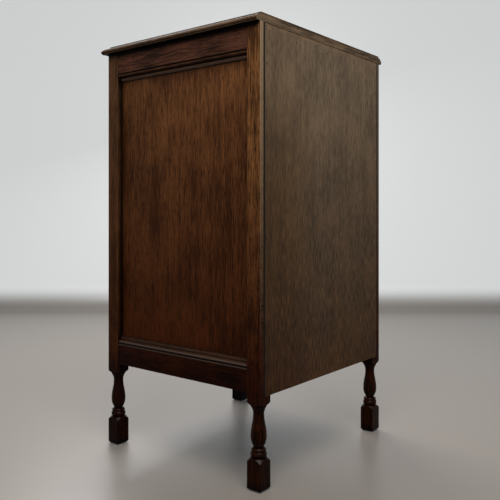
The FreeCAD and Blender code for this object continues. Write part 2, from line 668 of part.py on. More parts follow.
POST_LEAF_X = (f"-{POST_IN} - dims.leaf_thickness", f"-{POST_IN}")
DOOR_LEAF_X = (f"-{DOOR_HALF}", f"-{DOOR_HALF} + dims.leaf_thickness")
hinge_pins = []
for number, (level, middle) in enumerate(HINGES):
    trio = slice(3 * number, 3 * number + 3)
    hinge_leaf(f"{level}_hinge_post_leaf", middle, POST_LEAF_X, (0, 2, 4), (1, 3), HINGE_POST_SPOTS[trio], -1)
    hinge_leaf(f"{level}_hinge_door_leaf", middle, DOOR_LEAF_X, (1, 3), (0, 2, 4), HINGE_DOOR_SPOTS[trio], 1)
    hinge_pins.append(rod(f"{level}_hinge_pin", "z", (HINGE_X, HINGE_Y), "dims.hinge_pin_radius",
                          grown(about(middle, "dims.hinge_length"), "dims.hinge_pin_past")))
keep(group("hinge_pins", hinge_pins))

# Panel pins that hold the back board to the posts and the back rails

BOARD_HALF = f"({HALF} - dims.back_margin - dims.back_gap)"
BOARD_OUT = f"({BACK_SEAT} + dims.back_thickness)"
PIN_LOW = "(dims.back_bottom + dims.pin_end)"
PIN_HIGH = f"({UNDER_TOP} - dims.pin_end)"
PIN_ROWS = 5


def panel_pin(name, x, z, room="0"):
    """A pin through the back board, or the hole for one."""
    shank = rod(f"{name}_shank", "y", (x, z), f"dims.pin_radius + {room}",
                (f"{BOARD_OUT} - dims.pin_length - {room}", BOARD_OUT))
    head = rod(f"{name}_head", "y", (x, z), f"dims.pin_head_radius + {room}",
               (f"{BOARD_OUT} - dims.pin_head_height - {room}", BOARD_OUT))
    return fuse(name, [shank, head])


pin_spots = {}
for side_name, side in SIDES:
    pin_x = f"{side} * ({BOARD_HALF} - dims.pin_inset)"
    pin_spots[f"back_{side_name}_post"] = [
        (pin_x, f"{PIN_LOW} + {row} * ({PIN_HIGH} - {PIN_LOW}) / {PIN_ROWS - 1}") for row in range(PIN_ROWS)]
for level in ("top", "bottom"):
    edges = rails[f"back_{level}_rail"].edges
    pin_spots[f"back_{level}_rail"] = [
        (f"{step} * dims.pin_rail_step", f"({edges[0]} + {edges[1]}) / 2") for step in (-1, 0, 1)]


def pin_holes(name, owner):
    """Holes for the pins that hold the board to one post or rail."""
    spots = enumerate(pin_spots[owner])
    return [panel_pin(f"{name}_{count}", x, z, "dims.pin_fit") for count, (x, z) in spots]


board = block("back_board_blank", (f"-{BOARD_HALF}", BOARD_HALF), (BACK_SEAT, BOARD_OUT),
              ("dims.back_bottom", UNDER_TOP))
board_holes = [hole for owner in pin_spots for hole in pin_holes(f"board_hole_{owner}", owner)]
keep(cut("back_board", board, board_holes))
pins = [panel_pin(f"pin_{owner}_{count}", x, z)
        for owner, spots in pin_spots.items() for count, (x, z) in enumerate(spots)]
keep(group("back_board_pins", pins))
for level in ("top", "bottom"):
    name = f"back_{level}_rail"
    keep(cut(name, rails[name].solid(name), pin_holes(f"{name}_hole", name)))

# Posts: a square blank, turned below the rails, then cut for the joints

CORNER = "(dims.post_size / sqrt(2) + dims.joint_fit)"
TURNING = (
    ("dims.post_size", "dims.shoulder_top"),
    (CORNER, "dims.shoulder_top", "dims.shoulder_curve", 1),
    ("dims.collar_radius", "dims.collar_top"),
    ("dims.collar_radius", "dims.collar_low", "dims.cove_curve", -1),
    ("dims.neck_radius", "dims.neck_height", "dims.sweep_curve", -1),
    ("dims.swell_radius", "dims.swell_height", "dims.swell_curve", 1),
    ("dims.belly_radius", "dims.belly_height", "dims.bulb_curve", 1),
    ("dims.bulb_radius", "dims.bulb_height"),
    ("dims.waist_radius", "dims.waist_top"),
    ("dims.waist_radius", "dims.waist_low", "dims.upper_bead_curve", 1),
    ("dims.upper_bead_radius", "dims.upper_bead_low"),
    ("dims.ring_radius", "dims.ring_top", "dims.ring_curve", 1),
    ("dims.ring_radius", "dims.ring_low"),
    ("dims.ring_radius", "dims.block_top"),
    ("dims.block_radius", "dims.block_top"),
    (CORNER, "dims.block_corner"),
    ("dims.post_size", "dims.block_corner"),
)
SQUARE = [(f"{a} * dims.post_size / 2", f"{b} * dims.post_size / 2")
          for a, b in ((-1, -1), (1, -1), (1, 1), (-1, 1))]


def eased_bar(name, x, y, ease):
    """A bar as tall as a post, with its long edges rounded."""
    body = doc.addObject("PartDesign::Body", name)
    sketch = new_sketch(body, "XY_Plane", f"{name}_section")
    outline(sketch, (
        (f"{x[0]} + {ease}", y[0]),
        (f"{x[1]} - {ease}", y[0], ease, -1),
        (x[1], f"{y[0]} + {ease}"),
        (x[1], f"{y[1]} - {ease}", ease, -1),
        (f"{x[1]} - {ease}", y[1]),
        (f"{x[0]} + {ease}", y[1], ease, -1),
        (x[0], f"{y[1]} - {ease}"),
        (x[0], f"{y[0]} + {ease}", ease, -1),
    ))
    pad(body, sketch, UNDER_TOP, f"{name}_length")
    return body


def turned_post(name, x, y):
    """A post before its joints are cut."""
    body = doc.addObject("PartDesign::Body", f"{name}_turned")
    sketch = new_sketch(body, "XY_Plane", f"{name}_square")
    outline(sketch, SQUARE)
    blank = pad(body, sketch, UNDER_TOP, f"{name}_blank")
    doc.recompute()
    edges = enumerate(blank.Shape.Edges, start=1)
    rim = [f"Edge{count}" for count, edge in edges if edge.BoundBox.ZMax < 1e-6]
    chamfer = body.newObject("PartDesign::Chamfer", f"{name}_chamfer")
    chamfer.Base = (blank, rim)
    chamfer.setExpression("Size", "dims.foot_chamfer")
    spun(f"{name}_leg", TURNING, "PartDesign::Groove", body)
    place(body, x, y)
    faces = about(x, "dims.post_size"), about(y, "dims.post_size")
    eased = eased_bar(f"{name}_eased", *faces, "dims.post_arris")
    return common(f"{name}_uncut", [body, eased])


def post_cuts(name, end, side_name, side):
    """Mortises, panel groove and shelf bearer hole that a post has for its place."""
    back = end == "back"
    cuts = [side_groove(f"{name}_groove", side)]
    for level in ("top", "bottom"):
        cuts.append(rails[f"{side_name}_{level}_rail"].mortise(f"{name}_{level}_side_mortise", int(back)))
        cuts.append(rails[f"{end}_{level}_rail"].mortise(f"{name}_{level}_mortise", int(side > 0)))
    cuts.append(rails[f"{side_name}_shelf_bearer"].mortise(f"{name}_bearer_mortise", int(back)))
    return cuts


for end, post_y in (("front", f"{FRONT} + dims.post_size / 2"), ("back", f"{BACK} - dims.post_size / 2")):
    for side_name, side in SIDES:
        name = f"{end}_{side_name}_post"
        cuts = post_cuts(name, end, side_name, side)
        if end == "back":
            cuts.append(block(f"{name}_rebate",
                              mirrored(side, f"({POST_IN} - dims.cut_past)", f"({HALF} - dims.back_margin)"),
                              (BACK_SEAT, f"{BACK} + dims.cut_past"),
                              ("dims.back_bottom - dims.joint_fit", f"{UNDER_TOP} + dims.cut_past")))
            cuts += pin_holes(f"{name}_pin_hole", name)
        elif side < 0:
            for level, middle in HINGES:
                cuts += hinge_recess(f"{name}_{level}_hinge", middle, POST_LEAF_X)
            cuts += screw_holes(f"{name}_screw_hole", HINGE_POST_SPOTS, -1)
        else:
            cuts.append(block(f"{name}_strike_bed", STRIKE_X, STRIKE_Y, STRIKE_Z))
            cuts.append(block(f"{name}_bolt_hole", (POST_IN, f"{POST_IN} + dims.strike_depth"), *BOLT_ROOM))
            cuts += screw_holes(f"{name}_screw_hole", STRIKE_SPOTS, 1)
        keep(cut(name, turned_post(name, f"{side} * ({HALF} - dims.post_size / 2)", post_y), cuts))

# Inside: base board on its bearers, shelf on its bearers, and the dividers in their grooves

DIVIDER_Y = (f"{FRONT} + dims.divider_setback", f"{BACK_RAIL} - dims.panel_room")


def divider_x(count):
    """The middle of a divider: they share the width between the posts evenly."""
    return f"({count + 1} * 2 / {DIVIDERS + 1} - 1) * {POST_IN}"


def divider_grooves(name, z):
    """The grooves for one tier of dividers."""
    grooves = []
    for count in range(DIVIDERS):
        faces = grown(about(divider_x(count), "dims.divider_thickness"), "dims.joint_fit")
        grooves.append(block(f"{name}_{count}", faces, grown(DIVIDER_Y, "dims.joint_fit"), z))
    return grooves


def groove_down(face):
    """The depth of a groove cut down into a face."""
    return f"{face} - dims.divider_groove", f"{face} + dims.cut_past"


def groove_up(face):
    """The depth of a groove cut up into a face."""
    return f"{face} - dims.cut_past", f"{face} + dims.divider_groove"


def post_notch(name, side, y):
    """The corner of a board taken away round a post."""
    spans = mirrored(side, f"({POST_IN} - dims.panel_room)", HALF)
    return block(name, spans, y, ("0", UNDER_TOP))


NOTCH_FRONT = (FRONT, f"{POST_FRONT} + dims.panel_room")
NOTCH_BACK = (f"{POST_BACK} - dims.panel_room", BACK)
BASE_HALF = f"({RAIL_IN} - dims.panel_room)"
base = block("base_blank", (f"-{BASE_HALF}", BASE_HALF), (DOOR_BACK, BACK_RAIL), (BASE_LOW, BASE_TOP))
base_cuts = divider_grooves("base_groove", groove_down(BASE_TOP))
shelf = block("shelf_blank", (f"-{PANEL_IN}", PANEL_IN), (f"{FRONT} + dims.shelf_setback", BACK_SEAT),
              (SHELF_LOW, SHELF_TOP))
shelf_cuts = divider_grooves("shelf_low_groove", groove_up(SHELF_LOW))
shelf_cuts += divider_grooves("shelf_top_groove", groove_down(SHELF_TOP))
for side_name, side in SIDES:
    base_cuts.append(post_notch(f"base_front_{side_name}_notch", side, NOTCH_FRONT))
    base_cuts.append(post_notch(f"base_back_{side_name}_notch", side, NOTCH_BACK))
    shelf_cuts.append(post_notch(f"shelf_{side_name}_notch", side, NOTCH_BACK))
    keep(block(f"{side_name}_base_bearer", mirrored(side, f"({RAIL_IN} - dims.bearer_width)", RAIL_IN), DEPTH,
               (f"{BASE_LOW} - dims.bearer_height", BASE_LOW)))
keep(cut("base_board", base, base_cuts))
keep(cut("shelf", shelf, shelf_cuts))


def divider(name, count, low, high):
    """An upright divider with a finger scoop in its front edge."""
    body = doc.addObject("PartDesign::Body", name)
    sketch = new_sketch(body, "YZ_Plane", f"{name}_face")
    low_end = f"{low} - dims.divider_groove"
    high_end = f"{high} + dims.divider_groove"
    outline(sketch, (
        (DIVIDER_Y[1], low_end),
        (DIVIDER_Y[1], high_end),
        (DIVIDER_Y[0], high_end),
        (DIVIDER_Y[0], f"{high} - dims.divider_scoop_end", "dims.divider_scoop_curve", 1),
        (DIVIDER_Y[0], f"{low} + dims.divider_scoop_end"),
        (DIVIDER_Y[0], low_end),
    ))
    pad(body, sketch, "dims.divider_thickness", f"{name}_board", symmetric=True)
    place(body, divider_x(count))
    keep(body)


for count in range(DIVIDERS):
    divider(f"lower_divider_{count + 1}", count, BASE_TOP, SHELF_LOW)
    divider(f"upper_divider_{count + 1}", count, SHELF_TOP, UNDER_TOP)

# Top board: its edge is moulded on the front and both sides, and plain at the back

TOP_HALF = f"({HALF} + dims.top_overhang)"
TOP_FRONT = f"({FRONT} - dims.top_overhang)"


def edge_waste(sign, nose):
    """The section that the moulding cutter takes off one edge. nose is the outermost line of the board."""
    def spot(inward, drop):
        return f"{nose} - {sign} * ({inward})", f"dims.overall_height - {drop}"

    return (
        spot("dims.top_mould_width", "(-dims.cut_past)"),
        spot("dims.top_mould_width", "dims.top_step") + ("dims.top_thumb_curve", sign),
        spot("dims.top_thumb_in", "dims.top_thumb_drop"),
        spot("dims.top_thumb_in", "dims.top_bead_drop") + ("dims.top_bead_curve", sign),
        spot("dims.top_thumb_in", "dims.top_bead_end"),
        spot("dims.top_thumb_in", "(dims.top_thickness + dims.cut_past)"),
        spot("-dims.cut_past", "(dims.top_thickness + dims.cut_past)"),
        spot("-dims.cut_past", "(-dims.cut_past)"),
    )


top_body = doc.addObject("PartDesign::Body", "top_moulded")
top_sketch = new_sketch(top_body, "XZ_Plane", "top_section")
outline(top_sketch, ((f"-{TOP_HALF}", UNDER_TOP), (TOP_HALF, UNDER_TOP),
                     (TOP_HALF, "dims.overall_height"), (f"-{TOP_HALF}", "dims.overall_height")))
pad(top_body, top_sketch, f"{BACK} - {TOP_FRONT}", "top_blank", symmetric=True)
side_sketch = new_sketch(top_body, "XZ_Plane", "top_side_edges")
outline(side_sketch, edge_waste(1, TOP_HALF))
outline(side_sketch, edge_waste(-1, f"-{TOP_HALF}"))
front_sketch = new_sketch(top_body, "YZ_Plane", "top_front_edge")
outline(front_sketch, edge_waste(-1, TOP_FRONT))
for edge_sketch, run in ((side_sketch, f"2 * ({BACK} - {TOP_FRONT})"), (front_sketch, f"4 * {TOP_HALF}")):
    pocket = top_body.newObject("PartDesign::Pocket", f"{edge_sketch.Name}_cut")
    pocket.Profile = edge_sketch
    pocket.SideType = "Symmetric"
    pocket.setExpression("Length", run)
keep(cut("top_board", top_body, divider_grooves("top_groove", groove_up(UNDER_TOP))))

BLOCK_Z = (f"{UNDER_TOP} - dims.block_section", UNDER_TOP)
BLOCK_X = about("0", "dims.block_length")
FRONT_BLOCK = (DOOR_BACK, f"{DOOR_BACK} + dims.block_section")
BACK_BLOCK = (f"{BACK_RAIL} - dims.block_section", BACK_RAIL)
glue_blocks = [block("front_glue_block", BLOCK_X, FRONT_BLOCK, BLOCK_Z)]
glue_blocks.append(block("back_glue_block", BLOCK_X, BACK_BLOCK, BLOCK_Z))
for side_name, side in SIDES:
    across = mirrored(side, f"({RAIL_IN} - dims.block_section)", RAIL_IN)
    for end, way in (("front", -1), ("back", 1)):
        along = about(f"{MID_DEPTH} + {way} * dims.block_place", "dims.block_length")
        glue_blocks.append(block(f"{side_name}_{end}_glue_block", across, along, BLOCK_Z))
keep(group("top_glue_blocks", glue_blocks))

# Door: stiles with their mortises, and the beds for hinges, handle and lock

HANDLE_X = f"({DOOR_HALF} - dims.stile_width / 2)"
HANDLE_Z = "(dims.lock_height + dims.handle_above_key)"
STUD = (HANDLE_X, HANDLE_Z)
KEY_X = f"({DOOR_HALF} - dims.lock_backset)"
KEY = (KEY_X, "dims.lock_height")
CASE_X = (f"{DOOR_HALF} - dims.case_width", DOOR_HALF)
CASE_Y = (f"{DOOR_BACK} - dims.case_depth", DOOR_BACK)
CASE_Z = about("dims.lock_height", "dims.case_height")
PLATE_X = (f"{DOOR_HALF} - dims.case_wall", DOOR_HALF)
PLATE_Z = grown(CASE_Z, "dims.plate_past")


def keyhole(name, y):
    """A round hole with a slot below it, for the shank and the bit of the key."""
    hole = rod(f"{name}_round", "y", KEY, "dims.key_radius + dims.key_room", y)
    slot = block(f"{name}_slot", grown(about(KEY_X, "dims.bit_thickness"), "dims.key_room"), y,
                 ("dims.lock_height - dims.bit_radius - dims.key_room", "dims.lock_height"))
    return [hole, slot]


for side_name, side in SIDES:
    name = f"door_{'hinge' if side < 0 else 'lock'}_stile"
    cuts = [door_groove(f"{name}_groove")]
    for level in ("top", "bottom"):
        cuts.append(rails[f"door_{level}_rail"].mortise(f"{name}_{level}_mortise", int(side > 0)))
    if side < 0:
        for level, middle in HINGES:
            cuts += hinge_recess(f"{name}_{level}_hinge", middle, DOOR_LEAF_X)
        cuts += screw_holes(f"{name}_screw_hole", HINGE_DOOR_SPOTS, 1)
    else:
        cuts.append(block(f"{name}_case_bed", CASE_X, CASE_Y, CASE_Z))
        cuts.append(block(f"{name}_plate_bed", PLATE_X, CASE_Y, PLATE_Z))
        cuts += keyhole(f"{name}_keyhole", (f"{DOOR_FACE} - dims.cut_past", DOOR_BACK))
        stud_hole = (f"{DOOR_FACE} - dims.cut_past", f"{DOOR_FACE} + dims.stud_depth + dims.pin_fit")
        cuts.append(rod(f"{name}_stud_hole", "y", STUD, "dims.stud_radius + dims.pin_fit", stud_hole))
        cuts += screw_holes(f"{name}_screw_hole", PLATE_SPOTS, -1)
    blank = block(f"{name}_blank", mirrored(side, STILE_IN, DOOR_HALF), FRONT_FACES, (DOOR_LOW, DOOR_TOP))
    keep(cut(name, blank, cuts))

STOP_Z = (f"{DOOR_LOW} + dims.stop_short", f"{DOOR_TOP} - dims.stop_short")
STOP_X = (f"{POST_IN} - dims.stop_width", POST_IN)
keep(block("door_stop", STOP_X, (f"{DOOR_BACK} + dims.stop_gap", POST_FRONT), STOP_Z))

# Drop handle: a plate and a stud on the door, and a drop that swings on a pin

SWING_Y = f"({DOOR_FACE} - dims.swing_reach)"
SWING = (SWING_Y, HANDLE_Z)
plate = spun("handle_plate", (
    ("dims.stud_radius + dims.pin_fit", "0"),
    ("dims.plate_radius", "0"),
    ("dims.plate_radius", "dims.plate_edge", "dims.plate_curve", -1),
    ("dims.plate_radius - dims.plate_slope", "dims.plate_thickness"),
    ("dims.stud_radius + dims.pin_fit", "dims.plate_thickness"),
))
plate.Placement = Placement(Vector(), Rotation(Vector(1, 0, 0), 90))
place(plate, HANDLE_X, DOOR_FACE, HANDLE_Z)
keep(plate)

TONGUE_X = about(HANDLE_X, "dims.tongue_thickness")
NECK_FRONT = f"{DOOR_FACE} - dims.stud_neck_end"
stud = fuse("stud_solid", [
    rod("stud_shank", "y", STUD, "dims.stud_radius", (NECK_FRONT, f"{DOOR_FACE} + dims.stud_depth")),
    rod("stud_neck", "y", STUD, "dims.stud_neck_radius", (NECK_FRONT, f"{DOOR_FACE} - dims.plate_thickness")),
    block("stud_tongue", TONGUE_X, (SWING_Y, NECK_FRONT), grown((HANDLE_Z, HANDLE_Z), "dims.stud_radius")),
    rod("stud_tongue_end", "x", SWING, "dims.tongue_radius", TONGUE_X),
])
stud_bore = rod("stud_bore", "x", SWING, "dims.handle_pin_radius + dims.running_fit",
                grown(TONGUE_X, "dims.cut_past"))
keep(cut("handle_stud", stud, [stud_bore]))

EAR_IN = "(dims.tongue_thickness / 2 + dims.ear_gap)"
EAR_OUT = f"({EAR_IN} + dims.ear_thickness)"
EARS_X = (f"{HANDLE_X} - {EAR_OUT}", f"{HANDLE_X} + {EAR_OUT}")
YOKE_Y = about(SWING_Y, "(2 * dims.ear_radius)")
pear = spun("drop_pear", (
    ("0", "-dims.yoke_low"),
    ("dims.drop_neck_radius", "-dims.yoke_low", "dims.drop_curve", -1),
    ("dims.drop_radius", "-dims.drop_belly", "dims.drop_bulb_curve", 1),
    ("dims.drop_tip_radius", "-dims.drop_tip_top"),
    ("dims.drop_tip_radius", "-dims.drop_end"),
    ("0", "-dims.drop_end"),
))
place(pear, HANDLE_X, SWING_Y, HANDLE_Z)
YOKE_LOW = f"{HANDLE_Z} - dims.yoke_low"
drop_parts = [pear, block("drop_yoke", EARS_X, YOKE_Y, (YOKE_LOW, f"{HANDLE_Z} - dims.yoke_top"))]
for side_name, side in SIDES:
    ear_x = (f"{HANDLE_X} + {EAR_IN}", f"{HANDLE_X} + {EAR_OUT}")
    if side < 0:
        ear_x = (f"{HANDLE_X} - {EAR_OUT}", f"{HANDLE_X} - {EAR_IN}")
    drop_parts.append(rod(f"drop_{side_name}_ear_end", "x", SWING, "dims.ear_radius", ear_x))
    drop_parts.append(block(f"drop_{side_name}_ear", ear_x, YOKE_Y, (YOKE_LOW, HANDLE_Z)))
drop_bore = rod("drop_bore", "x", SWING, "dims.handle_pin_radius + dims.pin_fit",
                grown(EARS_X, "dims.cut_past"))
keep(cut("handle_drop", fuse("drop_solid", drop_parts), [drop_bore]))
keep(rod("handle_pin", "x", SWING, "dims.handle_pin_radius", EARS_X))

# Lock: a hollow case with an edge plate, a bolt with a lug, a key, an escutcheon and a strike plate

ROOM_X = less(CASE_X, "dims.case_wall")
ROOM_Y = less(CASE_Y, "dims.case_wall")
ROOM_Z = less(CASE_Z, "dims.case_wall")
case = fuse("case_solid", [
    block("case_box", CASE_X, CASE_Y, CASE_Z),
    block("case_plate", PLATE_X, CASE_Y, PLATE_Z),
])
keep(cut("lock_case", case, [
    block("case_room", ROOM_X, ROOM_Y, ROOM_Z),
    block("case_bolt_way", (f"{ROOM_X[1]} - dims.cut_past", f"{DOOR_HALF} + dims.cut_past"),
          grown(BOLT_FACES, "dims.bolt_fit"), grown(BOLT_EDGES, "dims.bolt_fit")),
    *keyhole("case_keyhole", (f"{CASE_Y[0]} - dims.cut_past", ROOM_Y[1])),
    *screw_holes("case_screw_hole", PLATE_SPOTS, -1),
]))

LUG_X = (f"{KEY_X} + dims.lug_place", f"{KEY_X} + dims.lug_place + dims.lug_width")
keep(fuse("lock_bolt", [
    block("bolt_bar", (f"{KEY_X} - dims.bolt_tail", f"{DOOR_HALF} - dims.bolt_in"), BOLT_FACES, BOLT_EDGES),
    block("bolt_lug", LUG_X, BOLT_FACES, ("dims.lock_height - dims.lug_low", BOLT_EDGES[1])),
]))

BOW_Y = f"({DOOR_FACE} - dims.bow_reach)"
COLLAR_Y = (f"{DOOR_FACE} - dims.collar_place - dims.key_collar_length", f"{DOOR_FACE} - dims.collar_place")
bow = doc.addObject("Part::Torus", "key_bow")
bow.Placement = Placement(Vector(), Rotation(Vector(0, 0, 1), Vector(1, 0, 0)))
bow.setExpression("Radius1", "dims.bow_radius")
bow.setExpression("Radius2", "dims.bow_wire")
place(bow, KEY_X, BOW_Y, "dims.lock_height")
keep(fuse("key", [
    bow,
    rod("key_shank", "y", KEY, "dims.key_radius",
        (f"{BOW_Y} + dims.bow_radius", f"{ROOM_Y[1]} - dims.key_end_gap")),
    rod("key_collar", "y", KEY, "dims.key_collar_radius", COLLAR_Y),
    block("key_bit", about(KEY_X, "dims.bit_thickness"), less(ROOM_Y, "dims.bit_side_gap"),
          ("dims.lock_height - dims.bit_radius", "dims.lock_height")),
]))

SHIELD_Y = (f"{DOOR_FACE} - dims.shield_thickness", DOOR_FACE)
shield = rod("escutcheon_disc", "y", KEY, "dims.shield_radius", SHIELD_Y)
keep(cut("escutcheon", shield, keyhole("escutcheon_keyhole", grown(SHIELD_Y, "dims.cut_past"))))

strike = block("strike_blank", STRIKE_X, STRIKE_Y, STRIKE_Z)
strike_slot = block("strike_slot", grown(STRIKE_X, "dims.cut_past"), *BOLT_ROOM)
keep(cut("strike_plate", strike, [strike_slot] + screw_holes("strike_screw_hole", STRIKE_SPOTS, 1)))

# Test every object, then write one file for each piece

doc.recompute()
failed = [item.Name for item in doc.Objects if {"Invalid", "Error"} & set(item.State)]
unsound = [item.Label for item in pieces if item.Shape.isNull() or not item.Shape.isValid()]
if failed or unsound:
    raise RuntimeError(f"objects that failed: {failed}, pieces that are not sound: {unsound}")
os.makedirs("parts", exist_ok=True)
for item in pieces:
    item.Shape.exportStep(os.path.join("parts", f"{item.Label}.step"))
    print(f"{item.Label}: {len(item.Shape.Solids)} solid(s), {item.Shape.Volume / 1000:.2f} cm3")
print(f"{len(pieces)} pieces")
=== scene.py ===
# %% [markdown]
# # A record cabinet in dark oak
# The cabinet is a small piece of oak furniture on four turned legs: framed and panelled sides, a thin
# plywood back, a top with a moulded edge, one door in front, and upright dividers inside for records. Its
# solid pieces are modelled elsewhere, at their real size, and come in here as a fixed frame. This lesson
# gives each piece its finish, softens the edges that a plane and years of use would soften, and sets up
# floor, light and camera.

# %% Load the frame
import math

import bpy
import bmesh
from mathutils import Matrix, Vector


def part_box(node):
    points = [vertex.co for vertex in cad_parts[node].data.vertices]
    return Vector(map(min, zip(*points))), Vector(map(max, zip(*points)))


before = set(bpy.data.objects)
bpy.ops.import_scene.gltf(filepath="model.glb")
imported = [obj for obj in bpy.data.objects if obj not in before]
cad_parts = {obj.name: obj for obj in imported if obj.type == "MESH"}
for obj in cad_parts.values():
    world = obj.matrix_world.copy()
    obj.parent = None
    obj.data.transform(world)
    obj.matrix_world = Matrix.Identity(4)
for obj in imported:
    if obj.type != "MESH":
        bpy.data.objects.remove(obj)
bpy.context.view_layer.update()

# %% [markdown]
# ## Two small helpers
# A given colour is an sRGB value, but the renderer counts light, so each channel is turned to linear
# first. The second helper adds one node to a material: its settings, and for each input either a plain value
# or the output that feeds it. Written this way a material reads from top to bottom, like a recipe.

# %% Helpers for colours and nodes
MM = 0.001


def linear(code):
    """The linear colour of an sRGB hex code."""
    channels = [int(code[i:i + 2], 16) / 255 for i in (1, 3, 5)]
    return [c / 12.92 if c <= 0.04045 else ((c + 0.055) / 1.055) ** 2.4 for c in channels] + [1.0]


def add(tree, kind, inputs=None, **settings):
    """A new node, with its settings made and its inputs set or linked."""
    item = tree.nodes.new(kind)
    for key, value in settings.items():
        setattr(item, key, value)
    for key, value in (inputs or {}).items():
        if isinstance(value, bpy.types.NodeSocket):
            tree.links.new(value, item.inputs[key])
        else:
            item.inputs[key].default_value = value
    return item


print("mid brown #6B4220 in linear light:", [round(c, 3) for c in linear("#6B4220")[:3]])

# %% [markdown]
# ## Where a piece's grain comes from
# Oak is ring-porous: each year's growth starts with a row of open pores, which show on a face as dark dashes
# in lines a few millimetres apart. Between them the fibres lie in fine streaks, and whole boards are cloudy,
# lighter here and darker there. An image could carry all this, but a pattern in three dimensions runs on
# round a corner as real grain does. So each pattern is a noise that is stretched along the grain, and every
# piece is moved to its own place in the pattern, as if it had been sawn from another part of the log.

# %% Patterns in the wood
STREAK_WIDTH = 2.4 * MM     # single fibres are far too fine to show, so they are drawn as streaks this wide
PORE_WIDTH = 1.8 * MM       # a pore is about 0.3 mm wide, so a row of them is drawn as one dash
BAND_WIDTH = 16 * MM        # a few years' growth
RIBBON_WIDTH = 5 * MM       # a ray that is cut along its length
CLOUD_WIDTH = 150 * MM      # a lighter or darker part of a board
PORE_STRETCH = 0.11         # pores are about ten times as long as wide
RAY_STRETCH = 0.4           # rays lie across the grain, so they are drawn out that way
LOG = (2.3, 4.1, 6.7)       # how far apart, in metres, two pieces may have been in the log


def stretched(tree, place, grain, along, across=1.0):
    """The place scaled along the grain and across it. A small scale along the grain draws a pattern out."""
    scale = [along if axis == grain else across for axis in "xyz"]
    return add(tree, "ShaderNodeVectorMath", {0: place, 1: scale}, operation="MULTIPLY").outputs[0]


def patterns(tree, grain, run):
    """The patterns of a piece of wood whose grain runs along x, y or z, as outputs to build on."""
    place = add(tree, "ShaderNodeTexCoord").outputs["Object"]
    axes = add(tree, "ShaderNodeSeparateXYZ", {0: place}).outputs
    chance = add(tree, "ShaderNodeObjectInfo").outputs["Random"]
    shift = add(tree, "ShaderNodeVectorMath", {0: LOG, "Scale": chance}, operation="SCALE").outputs[0]
    log = add(tree, "ShaderNodeVectorMath", {0: place, 1: shift}, operation="ADD").outputs[0]
    long = stretched(tree, log, grain, run)
    short = stretched(tree, log, grain, PORE_STRETCH)
    cross = stretched(tree, log, grain, 1.0, RAY_STRETCH)
    noises = {"streaks": (long, STREAK_WIDTH, {"Detail": 2.0, "Roughness": 0.6}),
              "bands": (long, BAND_WIDTH, {"Detail": 2.0, "Distortion": 0.5}),
              "dashes": (short, PORE_WIDTH, {"Detail": 1.0}),
              "clouds": (log, CLOUD_WIDTH, {"Detail": 3.0, "Roughness": 0.55}),
              "ribbons": (cross, RIBBON_WIDTH, {"Detail": 1.0, "Distortion": 1.5})}
    wood = {"x": axes[0], "y": axes[1], "z": axes[2], "log": log}
    for name, (where, width, character) in noises.items():
        noise = add(tree, "ShaderNodeTexNoise", {"Vector": where, "Scale": 1 / width, **character})
        wood[name] = noise.outputs["Fac"]
    return wood


print("streaks", STREAK_WIDTH / MM, "mm wide, clouds", CLOUD_WIDTH / MM, "mm")

# %% [markdown]
# ## Stain
# The oak was stained dark brown. The stain sits deepest in the pores, so these look almost black, and the
# hard rays took least of it, so they show as faint pale ribbons in places. The three patterns of streaks,
# bands and clouds are added up into one number, the lightness of the wood, which then picks a colour between
# two browns. Near the floor the colour is painted darker, as painted shade for light that falls off towards
# the floor: a smooth change with height, gentle enough that the piece also looks right in other light.

# %% Stained wood colour
BAND_SHARE, CLOUD_SHARE = 0.5, 0.8          # what bands and clouds add to the streaks
DARK_AT, PALE_AT = 0.96, 1.34               # the sums that give the dark and the pale brown
PATCH_FROM, PATCH_TO = 0.5, 0.62            # rays show only in the lighter clouds
RAY_FROM, RAY_TO = 0.55, 0.7
PORE_FROM, PORE_TO = 0.52, 0.7
SHADED_BELOW, UNSHADED_ABOVE = 200 * MM, 820 * MM              # the heights between which the painted shade near the floor fades out


def stain_and_shade(tree, wood, deep, warm, pores, rays, low):
    """The stained colour with painted shade towards the floor. low is what it is multiplied by near the
    floor.
    """
    banded = add(tree, "ShaderNodeMath", {0: wood["bands"], 1: BAND_SHARE, 2: wood["streaks"]},
                 operation="MULTIPLY_ADD").outputs[0]
    clouded = add(tree, "ShaderNodeMath", {0: wood["clouds"], 1: CLOUD_SHARE, 2: banded},
                  operation="MULTIPLY_ADD").outputs[0]
    light = add(tree, "ShaderNodeMapRange", {"Value": clouded, "From Min": DARK_AT,
                                             "From Max": PALE_AT}).outputs[0]
    brown = add(tree, "ShaderNodeMix", {0: light, 6: linear(deep), 7: linear(warm)},
                data_type="RGBA").outputs[2]
    patch = add(tree, "ShaderNodeMapRange", {"Value": wood["clouds"], "From Min": PATCH_FROM,
                                             "From Max": PATCH_TO, "To Max": rays}).outputs[0]
    ribbon = add(tree, "ShaderNodeMapRange", {"Value": wood["ribbons"], "From Min": RAY_FROM,
                                              "From Max": RAY_TO}).outputs[0]
    ray = add(tree, "ShaderNodeMath", {0: patch, 1: ribbon}, operation="MULTIPLY").outputs[0]
    rayed = add(tree, "ShaderNodeMix", {0: ray, 6: brown, 7: linear(warm)}, data_type="RGBA").outputs[2]
    dash = add(tree, "ShaderNodeMapRange", {"Value": wood["dashes"], "From Min": PORE_FROM,
                                            "From Max": PORE_TO,
                                            "To Min": 1.0, "To Max": 1 - pores}).outputs[0]
    pored = add(tree, "ShaderNodeVectorMath", {0: rayed, "Scale": dash}, operation="SCALE").outputs[0]
    # painted shade: darker towards the floor, fading out between the two heights
    high = add(tree, "ShaderNodeMapRange", {"Value": wood["z"], "From Min": SHADED_BELOW, "From Max": UNSHADED_ABOVE}).outputs[0]
    painted_falloff = add(tree, "ShaderNodeMix", {0: high, 6: linear(low), 7: linear("#FFFFFF")},
               data_type="RGBA").outputs[2]
    return add(tree, "ShaderNodeVectorMath", {0: pored, 1: painted_falloff}, operation="MULTIPLY").outputs[0]
